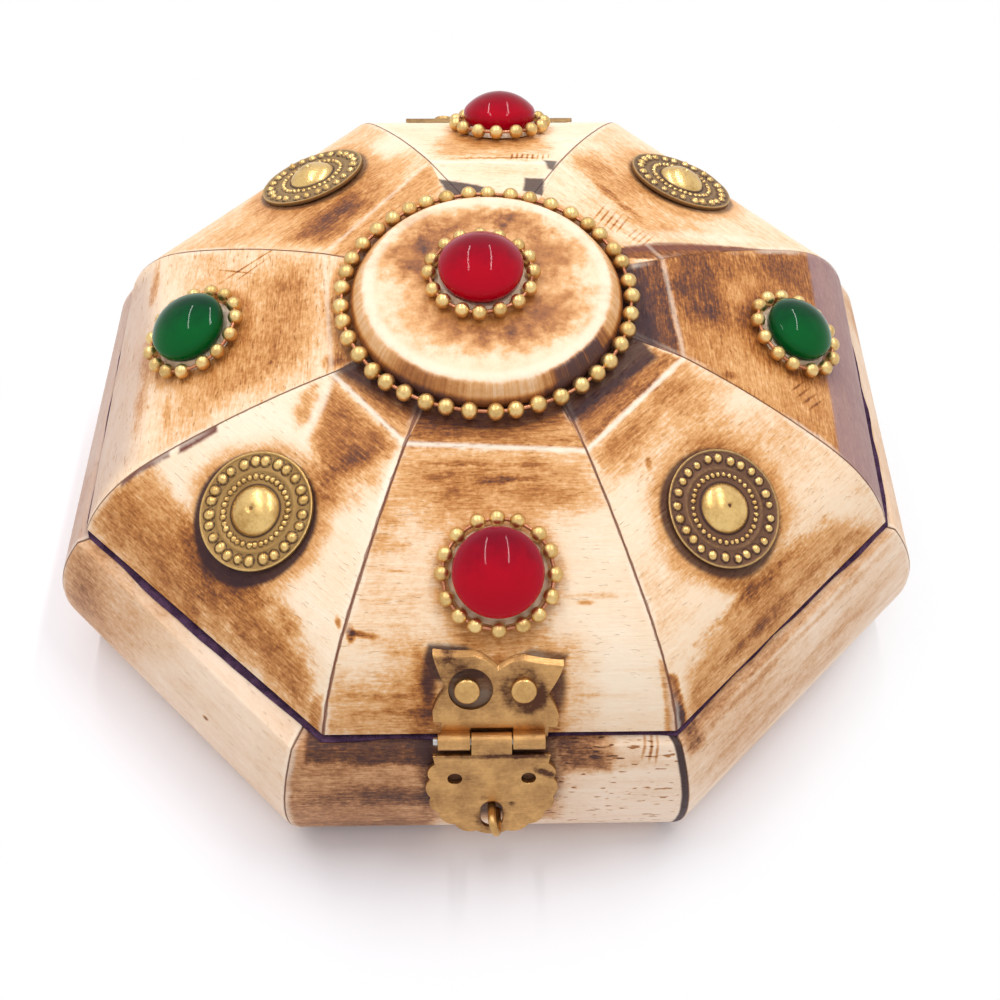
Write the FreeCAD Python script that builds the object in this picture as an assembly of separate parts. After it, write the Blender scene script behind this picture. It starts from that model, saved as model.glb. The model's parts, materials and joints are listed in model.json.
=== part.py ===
import FreeCAD, Part
import math
import os

# Octagonal trinket box: stained bone plates on a wooden carcass, lined with velvet.
# The domed lid turns on a brass hinge at the back, and a brass hasp drops over a wire staple.
# Millimetres, +Z up, front towards -Y, origin at the middle of the underside.
# Sides are counted from the front, counterclockwise from above; corner i starts side i.

SIDES = ["front", "front_right", "right", "back_right", "back", "back_left", "left", "front_left"]
FRONT = 0
BACK = SIDES.index("back")

# Base
rim_apothem = 57.5          # bone plate's top edge, measured from the box's axis
bulge = 4.0                 # how far a base plate swells past its edges
base_height = 23.5
base_bone_edge = 2.0        # bone thickness at the rim
stave_thickness = 4.5
board_thickness = 4.0
velvet_thickness = 0.8
velvet_lip = 0.2            # rim velvet showing outside the lid
seam_gap = 0.2              # air between the rim velvet and the lid

# Lid's outer form: a steep shoulder, a flatter slope and a facet under the disc
lid_setback = 1.5           # lid's edge inside the base's rim
break_apothem = 24.8        # edge between the slope and the top facet
break_height = 20.2         # above the seam
seam_slope = 72.0           # degrees, at the lid's edge
shoulder_slope = 29.0       # where the shoulder runs into the slope
break_slope = 14.0          # at the break
shoulder_steps = 5
slope_steps = 4
crown_apothem = 15.0        # top board
crown_height = 22.0         # top board's face above the seam
lid_bone_edge = 2.0         # bone thickness at the seam
lid_bone_crown = 1.5        # bone thickness beside the top board
lid_stave_thickness = 3.2
core_radius = 12.0          # plates are cut out of blanks that reach in this far

# The box is ground by hand: how far corners of the base's rim and of the lid's edge stray
# from the true octagon, in x and y, and each break corner in x, y and z
RIM_SHIFTS = {0: (-3.5, 0.0), 3: (-1.3, 0.0), 6: (0.5, 0.0), 7: (-2.0, -0.9)}
SEAM_SHIFTS = {6: (-0.8, 0.0), 7: (-2.2, 0.0)}
BREAK_SHIFTS = [
    (-1.9, 1.2, 0.0),
    (1.5, -0.2, 0.0),
    (1.2, 1.1, 0.0),
    (-0.4, -0.9, 0.0),
    (0.0, 5.5, -1.0),
    (0.9, 6.0, -1.0),
    (0.4, 0.5, 0.0),
    (2.4, -1.2, 0.0),
]

# Bone disc on top
disc_radius = 19.0
disc_face_radius = 16.6
disc_thickness = 3.4
disc_edge = 1.0             # upright part of the edge, below the bevel
disc_shift = (-1.1, -0.1)   # disc's centre from the box's axis

# Glass stones in rings of ball chain. A stone's outline is given in shares of its radius.
stone_foot = 0.67           # radius of the flat foot
stone_girdle = 0.45         # height of the widest part
stone_shoulder = 0.27       # rounding above the widest part
stone_height = 1.04
stone_seat = 0.05           # glue under a stone, chain or rosette
bead_radius = 1.12
bead_pitch = 2.9
chain_gap = 0.38            # between a stone's widest part and its chain, seen from above
link_radius = 0.28
disc_bead_radius = 1.24
disc_bead_pitch = 3.1
disc_chain_gap = 0.06
disc_chain_seat = 0.15      # over the highest facet
CENTRE_STONE = (-1.9, 0.85, 5.9)    # x, y and radius

# Distance from the box's axis, shift sideways and radius
STONES = {
    "front": (40.65, -0.05, 5.95),
    "right": (42.95, -0.15, 5.1),
    "back": (44.3, -1.35, 5.7),
    "left": (42.7, -0.9, 5.6),
}

# Embossed brass rosettes
rosette_radius = 8.2
rosette_sheet = 0.5
rosette_rim = 0.45          # width of the raised rim
rosette_rim_height = 0.8
boss_ring_radius = 6.8
boss_radius = 0.65
boss_count = 26
boss_sink = 0.25            # bosses' middles below the sheet's face
band_radius = 5.55          # smooth raised band
band_width = 0.75
band_height = 0.95
bead_ring_radius = 4.7
small_boss_radius = 0.38
small_boss_count = 32
dome_radius = 3.5
dome_height = 2.3
ROSETTES = {
    "front_right": (42.6, -0.7),
    "back_right": (43.5, 1.0),
    "back_left": (42.5, -2.5),
    "front_left": (43.6, -1.3),
}

# Brass leaves, shared by hasp and hinge
sheet = 0.7
leaf_seat = 0.05            # leaf over the bone
pin_offset = 1.5            # pin outside the lid's edge
pin_rise = 0.8              # pin above the seam
pin_radius = 0.55
barrel_radius = 1.2
bore_clearance = 0.05
knuckle_gap = 0.12          # between neighbouring knuckles
leaf_relief = 0.2           # leaf's edge beyond the other leaf's barrel
hole_clearance = 0.05

# Outline of an eared leaf, as shares of its half width and of its ears' height
EAR_NOTCH = 0.90
EAR_CREST = (0.40, 1.02)
EAR_WAIST = (0.76, 0.67)
EAR_BELLY = (0.97, 0.38)
EAR_HIP = (0.95, 0.23)
EAR_NOTCH_SIDE = (0.17, 0.98)
EAR_DIP = (0.70, 1.0)
EAR_SWEEP = (0.87, 0.80)
EAR_SWELL = (0.91, 0.52)

# Hasp
hasp_x = -1.15
hasp_half_barrel = 7.0
hasp_half_knuckle = 2.65
hasp_pin_end = 0.6          # pin proud of the barrel on the left
hasp_half_width = 8.5
hasp_ear_rise = 9.6         # ears above the seam
hasp_leaf_tilt = 3.5        # degrees clockwise, as the leaf was nailed on
hasp_leaf_shift = 0.4       # to the right of the pin's middle
rivet_x = 3.65              # half the rivets' spacing
rivet_shift = 0.55          # rivets' middle from the hasp's
rivet_rise = 6.3            # above the seam
rivet_head = 1.7
rivet_cap = 0.9
rivet_shank = 0.7
rivet_length = 4.5
rivet_hole = 1.5
worn_hole = 2.85            # torn hole round the left rivet
worn_hole_shift = 0.45
drop_half_width = 8.85
drop_length = 16.2          # below the pin
drop_shoulder = 7.7         # half the straight top edge
drop_top_gap = 0.3          # top edge below the other leaf's knuckles
drop_gap = 0.3              # hanging leaf to the base's bulge
lobe_rise = 0.6
drop_hole_radius = 0.95
drop_hole_x = 4.85
drop_hole_fall = 5.6        # below the pin
staple_fall = 12.2          # below the pin
staple_shift = 0.35         # to the right of the hasp's middle
staple_wire = 0.55
staple_half_gap = 1.3       # legs from the staple's middle
staple_reach = 1.5          # straight leg outside the drop leaf
staple_depth = 4.0          # leg inside the bone
staple_twist = 16.0         # degrees, about its own legs, lower leg to the right
slot_side_clearance = 0.55
slot_end_clearance = 0.65

# Cusps between the drop leaf's lobes, as shares of its half width and of its depth
LOBE_CUSPS = [(0.90, 0.11), (0.985, 0.30), (0.985, 0.53), (0.86, 0.73), (0.60, 0.89), (0.25, 0.975)]

# Hinge
hinge_half_barrel = 11.0
hinge_half_knuckle = 4.3
hinge_half_width = 13.7
hinge_lid_rise = 9.4        # ears above the seam
hinge_base_drop = 10.5      # leaf below the rim
nail_x = 7.6
nail_rise = 6.2             # above the seam, and below the rim
nail_head = 1.5
nail_cap = 0.7
nail_shank = 0.6
nail_length = 3.5

# Outline of the hinge's lower leaf, as shares of its half width and of its drop
SKIRT_HIP = (0.93, 0.28)
SKIRT_SWELL = (0.97, 0.55)
SKIRT_CHEEK = (0.70, 0.85)
SKIRT_SWEEP = (0.35, 0.88)

# Worked out from the sizes above
sector_angle = 360.0 / len(SIDES)
half_sector = math.radians(sector_angle / 2.0)
lid_apothem = rim_apothem - lid_setback
carcass_apothem = rim_apothem - base_bone_edge
cavity_apothem = carcass_apothem - stave_thickness
lined_apothem = cavity_apothem - velvet_thickness
seam = base_height + velvet_thickness + seam_gap
crown = seam + crown_height
bulge_radius = ((base_height / 2.0) ** 2 + bulge ** 2) / (2.0 * bulge)
bulge_centre = rim_apothem + bulge - bulge_radius
lid_carcass_apothem = lid_apothem - lid_bone_edge
lid_carcass_height = crown_height - lid_bone_crown
lid_carcass_slope = math.atan2(lid_carcass_height, lid_carcass_apothem - crown_apothem)
lid_stave_fall = lid_stave_thickness / math.cos(lid_carcass_slope)
lid_cavity_apothem = lid_carcass_apothem - lid_stave_thickness / math.sin(lid_carcass_slope)
lid_cavity_height = lid_carcass_height - lid_stave_fall
disc_chain_radius = disc_radius + disc_chain_gap + disc_bead_radius
pin_apothem = lid_apothem + pin_offset
pin_height = seam + pin_rise
leaf_reach = barrel_radius + leaf_relief
halvings = 40                         # steps when a place on the lid is searched for
far = 2.0 * (rim_apothem + bulge)     # longer than any piece is wide
over = 1.0                            # cutting tools run past the faces they cut


def vec(x, y, z):
    return FreeCAD.Vector(x, y, z)


def turned(shape, side):
    copy = shape.copy()
    copy.rotate(vec(0, 0, 0), vec(0, 0, 1), sector_angle * side)
    return copy


def face_of(points):
    return Part.Face(Part.makePolygon(points + points[:1]))


def corner(index, apothem, z):
    radius = apothem / math.cos(half_sector)
    angle = math.radians(-90.0 + sector_angle * (index - 0.5))
    return vec(radius * math.cos(angle), radius * math.sin(angle), z)


def strayed(index, apothem, z, shifts):
    return corner(index, apothem, z) + vec(*shifts.get(index % len(SIDES), (0.0, 0.0)), 0)


def octagon(apothem, z, shifts={}):
    corners = [strayed(i, apothem, z, shifts) for i in range(len(SIDES))]
    return Part.makePolygon(corners + corners[:1])


def octagon_block(low_apothem, low, high_apothem, high):
    return Part.makeLoft([octagon(low_apothem, low), octagon(high_apothem, high)], True, True)


def swept(section_face, half_length):
    section_face.translate(vec(-half_length, 0, 0))
    return section_face.extrude(vec(2.0 * half_length, 0, 0))


def mitred(section_face):
    # A front board: its section runs along X and is cut by the two corner planes
    board = swept(section_face, far)
    reach = far * math.tan(half_sector)
    wedge = face_of([vec(0, 0, -far), vec(-reach, -far, -far), vec(reach, -far, -far)])
    return board.common(wedge.extrude(vec(0, 0, 2.0 * far)))


def front_section(points):
    # Points are (distance outwards, height)
    return face_of([vec(0, -w, z) for w, z in points])


def placed(shape, point, normal, along):
    # Moves a shape modelled on the XY plane onto a surface
    copy = shape.copy()
    across = normal.cross(along)
    copy.Placement = FreeCAD.Placement(point, FreeCAD.Rotation(along, across, normal, "ZXY"))
    return copy


def spline(points):
    curve = Part.BSplineCurve()
    curve.interpolate(points)
    return curve.toShape()


# Lid's profile: two tangent arcs from the seam to the break
def profile_radii():
    a, b, c = (math.radians(s) for s in (seam_slope, shoulder_slope, break_slope))
    run = lid_apothem - break_apothem
    m = [[math.sin(a) - math.sin(b), math.sin(b) - math.sin(c)],
         [math.cos(b) - math.cos(a), math.cos(c) - math.cos(b)]]
    det = m[0][0] * m[1][1] - m[0][1] * m[1][0]
    shoulder = (run * m[1][1] - break_height * m[0][1]) / det
    slope = (break_height * m[0][0] - run * m[1][0]) / det
    return shoulder, slope


shoulder_radius, slope_radius = profile_radii()


def profile(slope):
    # Share of the run and of the rise that a slope, in degrees, has reached
    run = lid_apothem - break_apothem
    t = math.radians(slope)
    a, b = math.radians(seam_slope), math.radians(shoulder_slope)
    s = max(t, b)
    inset = shoulder_radius * (math.sin(a) - math.sin(s)) + slope_radius * (math.sin(b) - math.sin(min(t, b)))
    rise = shoulder_radius * (math.cos(s) - math.cos(a)) + slope_radius * (math.cos(min(t, b)) - math.cos(b))
    return inset / run, rise / break_height


def steps(start, end, count):
    return [start + (end - start) * i / count for i in range(count)]


PROFILE_SLOPES = steps(seam_slope, shoulder_slope, shoulder_steps)
PROFILE_SLOPES += steps(shoulder_slope, break_slope, slope_steps) + [break_slope]


def break_corner(index):
    i = index % len(SIDES)
    return corner(i, break_apothem, seam + break_height) + vec(*BREAK_SHIFTS[i])


def joint_point(index, slope):
    # On the joint between two lid plates
    inset, rise = profile(slope)
    low = strayed(index, lid_apothem, seam, SEAM_SHIFTS)
    high = break_corner(index)
    return vec(low.x + (high.x - low.x) * inset,
               low.y + (high.y - low.y) * inset,
               seam + (high.z - seam) * rise)


def gore_point(side, slope, share=0.5):
    return joint_point(side, slope) * (1.0 - share) + joint_point(side + 1, slope) * share


def upright(edges, point, foot_of_other):
    # Closes a joint section down to the seam
    foot = vec(point.x, point.y, seam)
    edges = edges + [Part.makeLine(point, foot), Part.makeLine(foot, foot_of_other)]
    return Part.Wire(edges)


def slope_section(index):
    curve = [joint_point(index, s) for s in PROFILE_SLOPES]
    return upright([spline(curve)], curve[-1], curve[0])


def facet_section(index):
    # From the break straight towards the axis, rising to the top board
    outer = break_corner(index)
    radius = math.hypot(outer.x, outer.y)
    facet_rise = (crown - outer.z) / (radius - crown_apothem / math.cos(half_sector))
    share = core_radius / radius
    core = vec(outer.x * share, outer.y * share, outer.z + facet_rise * (radius - core_radius))
    foot = vec(outer.x, outer.y, seam)
    inner_foot = vec(core.x, core.y, seam)
    return Part.makePolygon([outer, core, inner_foot, foot, outer])


def gore_seat(side, apothem, aside=0.0):
    # Point, outward normal and sideways direction on a lid plate
    low, high = break_slope, seam_slope
    outwards = turned(Part.Vertex(0, -1, 0), side).Point
    for _ in range(halvings):
        slope = (low + high) / 2.0
        if gore_point(side, slope).dot(outwards) < apothem:
            low = slope
        else:
            high = slope
    width = (joint_point(side + 1, slope) - joint_point(side, slope)).Length
    share = 0.5 + aside / width
    along = (gore_point(side, slope, 1.0) - gore_point(side, slope, 0.0)).normalize()
    nudge = 0.01
    up = (gore_point(side, slope - nudge, share) - gore_point(side, slope + nudge, share)).normalize()
    normal = along.cross(up).normalize()
    return gore_point(side, slope, share), normal, along


def seat_at_height(side, aside, rise):
    low, high = break_slope, seam_slope
    for _ in range(halvings):
        slope = (low + high) / 2.0
        if gore_point(side, slope).z - seam > rise:
            low = slope
        else:
            high = slope
    outwards = turned(Part.Vertex(0, -1, 0), side).Point
    return gore_seat(side, gore_point(side, slope).dot(outwards), aside)


def fastener(head, cap, shank, length):
    body = Part.makeCylinder(shank, length + over / 2.0, vec(0, 0, -length))
    top = Part.makeCylinder(head, cap)
    return body.fuse(top.makeFillet(cap / 2.0, [top.Edges[0]])).removeSplitter()


# Base
def base_board():
    return octagon_block(carcass_apothem, 0, carcass_apothem, board_thickness)


def base_staves():
    stave = mitred(front_section([
        (cavity_apothem, board_thickness), (carcass_apothem, board_thickness),
        (carcass_apothem, base_height), (cavity_apothem, base_height)]))
    return Part.makeCompound([turned(stave, i) for i in range(len(SIDES))])


def outwards_from(run):
    return vec(run.y, -run.x, 0)


def base_plate(side, carcass):
    # A bulging board along one side of the rim, mitred with its neighbours and cut back to the carcass
    corners = [strayed(side + k, rim_apothem, 0, RIM_SHIFTS) for k in (-1, 0, 1, 2)]
    runs = [(b - a).normalize() for a, b in zip(corners, corners[1:])]
    start, end = corners[1:3]
    tail = start - runs[1] * rim_apothem

    def at(out, z):
        return tail + outwards_from(runs[1]) * out + vec(0, 0, z)

    outside = Part.Arc(at(0, 0), at(bulge, base_height / 2.0), at(0, base_height)).toShape()
    depth = rim_apothem / 2.0
    back = Part.makePolygon([at(0, base_height), at(-depth, base_height), at(-depth, 0), at(0, 0)])
    board = Part.Face(Part.Wire([outside] + back.Edges)).extrude(runs[1] * far)
    left, right = [(outwards_from(a) + outwards_from(b)).normalize() for a, b in zip(runs, runs[1:])]
    wedge = face_of([start - left * depth, end - right * depth, end + right * depth, start + left * depth])
    return board.common(wedge.extrude(vec(0, 0, base_height))).cut(carcass)


def bulge_at(z):
    return bulge_centre + math.sqrt(bulge_radius ** 2 - (z - base_height / 2.0) ** 2)


def floor_lining():
    return octagon_block(cavity_apothem, board_thickness, cavity_apothem, board_thickness + velvet_thickness)


def wall_lining():
    low = board_thickness + velvet_thickness
    outside = octagon_block(cavity_apothem, low, cavity_apothem, base_height)
    return outside.cut(octagon_block(lined_apothem, low - over, lined_apothem, base_height + over))


def rim_velvet():
    edge = lid_apothem + velvet_lip
    high = base_height + velvet_thickness
    outside = Part.makeLoft([octagon(edge, z, SEAM_SHIFTS) for z in (base_height, high)], True, True)
    return outside.cut(octagon_block(lined_apothem, base_height - over, lined_apothem, high + over))


# Lid carcass
def lid_staves():
    stave = mitred(front_section([
        (lid_carcass_apothem, seam), (crown_apothem, seam + lid_carcass_height),
        (crown_apothem, seam + lid_cavity_height), (lid_cavity_apothem, seam)]))
    return Part.makeCompound([turned(stave, i) for i in range(len(SIDES))])


def lid_top_board():
    return octagon_block(crown_apothem, seam + lid_cavity_height, crown_apothem, crown)


def lid_lining():
    slant = velvet_thickness * (1.0 - math.cos(lid_carcass_slope)) / math.sin(lid_carcass_slope)
    grade = 1.0 / math.tan(lid_carcass_slope)
    inner_edge = lid_cavity_apothem - velvet_thickness / math.sin(lid_carcass_slope)
    high = seam + lid_cavity_height
    outside = octagon_block(lid_cavity_apothem, seam, crown_apothem, high)
    inside = octagon_block(inner_edge + over * grade, seam - over,
                           crown_apothem - slant, high - velvet_thickness)
    return outside.cut(inside)


def lid_carcass_blank():
    grade = 1.0 / math.tan(lid_carcass_slope)
    sloped = octagon_block(lid_carcass_apothem + over * grade, seam - over,
                           crown_apothem, seam + lid_carcass_height)
    return sloped.fuse(octagon_block(crown_apothem, seam - over, crown_apothem, crown + over))


def disc_blank(radius):
    return Part.makeCylinder(radius, disc_thickness, vec(disc_shift[0], disc_shift[1], crown))


def lid_gore(side, carcass):
    slope = Part.makeLoft([slope_section(side), slope_section(side + 1)], True, True)
    facet = Part.makeLoft([facet_section(side), facet_section(side + 1)], True, True)
    return slope.fuse(facet).cut(carcass).cut(disc_blank(disc_chain_radius))


def lid_disc():
    points = [vec(0, 0, 0), vec(disc_radius, 0, 0), vec(disc_radius, 0, disc_edge),
              vec(disc_face_radius, 0, disc_thickness), vec(0, 0, disc_thickness)]
    disc = face_of(points).revolve(vec(0, 0, 0), vec(0, 0, 1), 360)
    disc.translate(vec(disc_shift[0], disc_shift[1], crown))
    return disc


# Stones and chains, modelled on the XY plane
def arc_round(middle, radius, start, end):
    # In the XZ plane, from one angle to another
    return arc(*[(middle[0] + radius * math.cos(angle), middle[1] + radius * math.sin(angle))
                 for angle in (start, (start + end) / 2.0, end)])


def stone(radius):
    # A belly down to the foot, a tight shoulder and a wide dome, each arc tangent to the next
    foot, girdle, shoulder, top = [radius * share for share in
                                   (stone_foot, stone_girdle, stone_shoulder, stone_height)]
    inset, rise = radius - foot, top - girdle
    belly = (inset ** 2 + girdle ** 2) / (2.0 * inset)
    dome = (radius ** 2 + rise ** 2 - 2.0 * radius * shoulder) / (2.0 * (rise - shoulder))
    foot_angle = math.atan2(-girdle, belly - inset)
    dome_angle = math.atan2(girdle - top + dome, radius - shoulder)
    outline = [
        arc_round((radius - belly, girdle), belly, foot_angle, 0.0),
        arc_round((radius - shoulder, girdle), shoulder, 0.0, dome_angle),
        arc_round((0.0, top - dome), dome, dome_angle, math.pi / 2.0),
        line((0.0, top), (0.0, 0.0)), line((0.0, 0.0), (foot, 0.0))]
    return Part.Face(Part.Wire(outline)).revolve(vec(0, 0, 0), vec(0, 0, 1), 360)


def ball_chain(radius, ball, pitch):
    # Balls at the corners of a polygon, with a straight wire link along each of its sides
    count = round(2.0 * math.pi * radius / pitch)
    middles = []
    for i in range(count):
        angle = 2.0 * math.pi * (i + 0.5) / count
        middles.append(vec(radius * math.cos(angle), radius * math.sin(angle), ball))
    pieces_of_chain = []
    for here, there in zip(middles, middles[1:] + middles[:1]):
        run = there - here
        pieces_of_chain.append(Part.makeSphere(ball, here, run))
        pieces_of_chain.append(Part.makeCylinder(link_radius, run.Length, here, run))
    return pieces_of_chain[0].multiFuse(pieces_of_chain[1:])


def disc_chain():
    facet_fall = (crown_height - break_height) / (break_apothem - crown_apothem)
    inner_contact = disc_chain_radius * math.cos(half_sector) - crown_apothem
    low = crown - facet_fall * max(inner_contact, 0.0) + disc_chain_seat
    chain = ball_chain(disc_chain_radius, disc_bead_radius, disc_bead_pitch)
    chain.translate(vec(disc_shift[0], disc_shift[1], low))
    return chain


def rosette():
    dome = [vec(0, 0, 0), vec(rosette_radius, 0, 0), vec(rosette_radius, 0, rosette_rim_height),
            vec(rosette_radius - rosette_rim, 0, rosette_rim_height),
            vec(rosette_radius - rosette_rim, 0, rosette_sheet),
            vec(band_radius + band_width / 2.0, 0, rosette_sheet),
            vec(band_radius, 0, band_height),
            vec(band_radius - band_width / 2.0, 0, rosette_sheet),
            vec(dome_radius, 0, rosette_sheet)]
    lift = dome_height - rosette_sheet
    round_radius = (dome_radius ** 2 + lift ** 2) / (2.0 * lift)
    lean = math.asin(dome_radius / round_radius) / 2.0
    on_dome = vec(math.sin(lean) * round_radius, 0, dome_height - round_radius * (1.0 - math.cos(lean)))
    cap = Part.Arc(dome[-1], on_dome, vec(0, 0, dome_height)).toShape()
    edges = Part.makePolygon(dome).Edges + [cap, Part.makeLine(vec(0, 0, dome_height), dome[0])]
    plate = Part.Face(Part.Wire(edges)).revolve(vec(0, 0, 0), vec(0, 0, 1), 360)
    bosses = []
    for ring, size, count in ((boss_ring_radius, boss_radius, boss_count),
                              (bead_ring_radius, small_boss_radius, small_boss_count)):
        for i in range(count):
            angle = 2.0 * math.pi * i / count
            middle = vec(ring * math.cos(angle), ring * math.sin(angle), rosette_sheet - boss_sink)
            bosses.append(Part.makeSphere(size, middle, vec(0, 0, 1), 0, 90, 360))
    return plate.multiFuse(bosses)


# Brass leaves. A front leaf is drawn in (sideways, height) and cut from a bent sheet.
def outline_prism(edges):
    drawn = Part.Face(Part.Wire(Part.__sortEdges__(edges)))
    drawn.translate(vec(0, -far, 0))
    return drawn.extrude(vec(0, 2.0 * far, 0))


def mirrored(edges):
    return [e.mirror(vec(0, 0, 0), vec(1, 0, 0)) for e in edges]


def line(a, b):
    return Part.makeLine(vec(a[0], 0, a[1]), vec(b[0], 0, b[1]))


def arc(a, m, b):
    return Part.Arc(vec(a[0], 0, a[1]), vec(m[0], 0, m[1]), vec(b[0], 0, b[1])).toShape()


def eared_outline(half_width, ear_rise, half_neck):
    # Flared ears with a notch between them, a waist, a belly and a stepped neck
    def at(share):
        return (half_width * share[0], seam + ear_rise * share[1])

    notch, crest, tip = at((0, EAR_NOTCH)), at(EAR_CREST), at((1, 1))
    waist, belly, hip = at(EAR_WAIST), at(EAR_BELLY), at(EAR_HIP)
    neck = (half_neck, hip[1])
    end = (half_neck, seam - over)
    right = [
        arc(notch, at(EAR_NOTCH_SIDE), crest), arc(crest, at(EAR_DIP), tip),
        arc(tip, at(EAR_SWEEP), waist), arc(waist, at(EAR_SWELL), belly),
        line(belly, hip), line(hip, neck), line(neck, end)]
    return right + mirrored(right) + [line(end, (-end[0], end[1]))]


def bent_lid_sheet(side, half_width):
    # The sheet lies along the middle of a lid plate, from the seam to the shoulder's end
    inner, outer = [], []
    for s in PROFILE_SLOPES[:shoulder_steps + 1]:
        point = gore_point(side, s)
        height = point.z
        outwards = -point.y if side == FRONT else point.y
        lean = math.radians(s)
        normal = (math.sin(lean), math.cos(lean))
        inner.append(vec(0, -outwards - leaf_seat * normal[0], height + leaf_seat * normal[1]))
        offset = leaf_seat + sheet
        outer.append(vec(0, -outwards - offset * normal[0], height + offset * normal[1]))
    ends = [Part.makeLine(inner[-1], outer[-1]), Part.makeLine(outer[0], inner[0])]
    edges = [spline(inner), spline(outer)] + ends
    return swept(Part.Face(Part.Wire(Part.__sortEdges__(edges))), half_width + over)


def tube(radius, start, end):
    return Part.makeCylinder(radius, end - start, vec(start, -pin_apothem, pin_height), vec(1, 0, 0))


def bored(leaf, spans):
    # Adds a leaf's knuckles and opens the pin's bore
    for start, end in spans:
        leaf = leaf.fuse(tube(barrel_radius, start, end))
    return leaf.cut(tube(pin_radius + bore_clearance, -far, far)).removeSplitter()


def window(half_width):
    # Room for the other leaf's knuckle
    return Part.makeBox(2.0 * half_width, 2.0 * leaf_reach, 2.0 * leaf_reach,
                        vec(-half_width, -pin_apothem - leaf_reach, pin_height - leaf_reach))


def drill(hole, point, normal):
    return Part.makeCylinder(hole, far, point - normal * far / 2.0, normal)


def rivet_seats():
    middle = hasp_x + rivet_shift
    return [seat_at_height(FRONT, middle + sign * rivet_x, rivet_rise) for sign in (-1, 1)]


def nail_seats_lid():
    return [seat_at_height(BACK, sign * nail_x, nail_rise) for sign in (-1, 1)]


def nail_seats_base():
    height = base_height - nail_rise
    lean = math.asin((height - base_height / 2.0) / bulge_radius)
    normal = vec(0, math.cos(lean), math.sin(lean))
    along = vec(-1, 0, 0)
    return [(vec(sign * nail_x, bulge_at(height), height), normal, along) for sign in (-1, 1)]


def fixings(seats, head, cap, shank, length):
    piece = fastener(head, cap, shank, length)
    lift = leaf_seat + sheet
    return Part.makeCompound([placed(piece, p + n * lift, n, a) for p, n, a in seats])


def shank_holes(solid, seats, shank, length):
    for point, normal, _ in seats:
        deep = point - normal * (length + over)
        solid = solid.cut(Part.makeCylinder(shank + hole_clearance, length + far, deep, normal))
    return solid


def hasp_lid_leaf():
    drawn = outline_prism(eared_outline(hasp_half_width, hasp_ear_rise, hasp_half_barrel))
    drawn.rotate(vec(0, 0, pin_height), vec(0, 1, 0), hasp_leaf_tilt)
    drawn.translate(vec(hasp_leaf_shift, 0, 0))
    leaf = bent_lid_sheet(FRONT, 2.0 * hasp_half_width).common(drawn)
    leaf = bored(leaf, [(-hasp_half_barrel, hasp_half_barrel)])
    leaf = leaf.cut(window(hasp_half_knuckle + knuckle_gap))
    leaf.translate(vec(hasp_x, 0, 0))
    left, right = rivet_seats()
    torn = left[0] + left[2] * worn_hole_shift
    leaf = leaf.cut(drill(worn_hole, torn, left[1]))
    return leaf.cut(drill(rivet_hole, right[0], right[1]))


def hasp_pin():
    pin = tube(pin_radius, -hasp_half_barrel - hasp_pin_end, hasp_half_barrel)
    pin.translate(vec(hasp_x, 0, 0))
    return pin


def drop_lean():
    # Angle that lets the flat leaf hang just clear of the bulge
    out = pin_apothem - bulge_centre
    up = pin_height - base_height / 2.0
    clear = bulge_radius + drop_gap - (barrel_radius - sheet)
    return math.atan2(up, out) - math.acos(clear / math.hypot(out, up))


def drop_outline():
    # Straight top, then lobes between cusps, with a tab up to the knuckle
    top = -barrel_radius - drop_top_gap
    depth = drop_length + top - lobe_rise
    wide = drop_half_width - lobe_rise
    right = [(wide * x, top - depth * fall) for x, fall in LOBE_CUSPS]
    cusps = right + [(-x, z) for x, z in reversed(right)]
    shoulder, tab = drop_shoulder, hasp_half_knuckle
    edges = [line((shoulder, top), cusps[0]), line(cusps[-1], (-shoulder, top))]
    for a, b in zip(cusps, cusps[1:]):
        chord = vec(b[0] - a[0], 0, b[1] - a[1])
        out = vec(-chord.z, 0, chord.x).normalize() * lobe_rise
        edges.append(arc(a, ((a[0] + b[0]) / 2.0 + out.x, (a[1] + b[1]) / 2.0 + out.z), b))
    crown_points = [(-shoulder, top), (-tab, top), (-tab, 0), (tab, 0), (tab, top), (shoulder, top)]
    return edges + [line(a, b) for a, b in zip(crown_points, crown_points[1:])]


def leaned(shape):
    # From hanging plumb under the pin to lying on the bulge
    shape.rotate(vec(0, 0, 0), vec(1, 0, 0), -math.degrees(drop_lean()))
    shape.translate(vec(hasp_x, -pin_apothem, pin_height))
    return shape


def staple_slot():
    twist = math.radians(staple_twist)
    half_wide = staple_half_gap * math.sin(twist) + staple_wire + slot_side_clearance
    half_high = staple_half_gap * math.cos(twist) + staple_wire + slot_end_clearance
    straight = 2.0 * (half_high - half_wide)
    box = Part.makeBox(2.0 * half_wide, far, straight, vec(-half_wide, -far / 2.0, -straight / 2.0))
    ends = [Part.makeCylinder(half_wide, far, vec(0, -far / 2.0, z), vec(0, 1, 0))
            for z in (-straight / 2.0, straight / 2.0)]
    slot = box.multiFuse(ends).removeSplitter()
    slot.translate(vec(0, 0, -staple_fall))
    return slot


def hasp_drop_leaf():
    plate = outline_prism(drop_outline())
    plate = plate.common(Part.makeBox(far, sheet, far, vec(-far / 2.0, -barrel_radius, -far / 2.0)))
    for x in (-drop_hole_x, drop_hole_x):
        plate = plate.cut(drill(drop_hole_radius, vec(x, 0, -drop_hole_fall), vec(0, 1, 0)))
    plate = plate.cut(staple_slot())
    knuckle = vec(-hasp_half_knuckle, 0, 0)
    barrel = Part.makeCylinder(barrel_radius, 2.0 * hasp_half_knuckle, knuckle, vec(1, 0, 0))
    bore = Part.makeCylinder(pin_radius + bore_clearance, far, vec(-far / 2.0, 0, 0), vec(1, 0, 0))
    return leaned(plate.fuse(barrel).cut(bore).removeSplitter())


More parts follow.
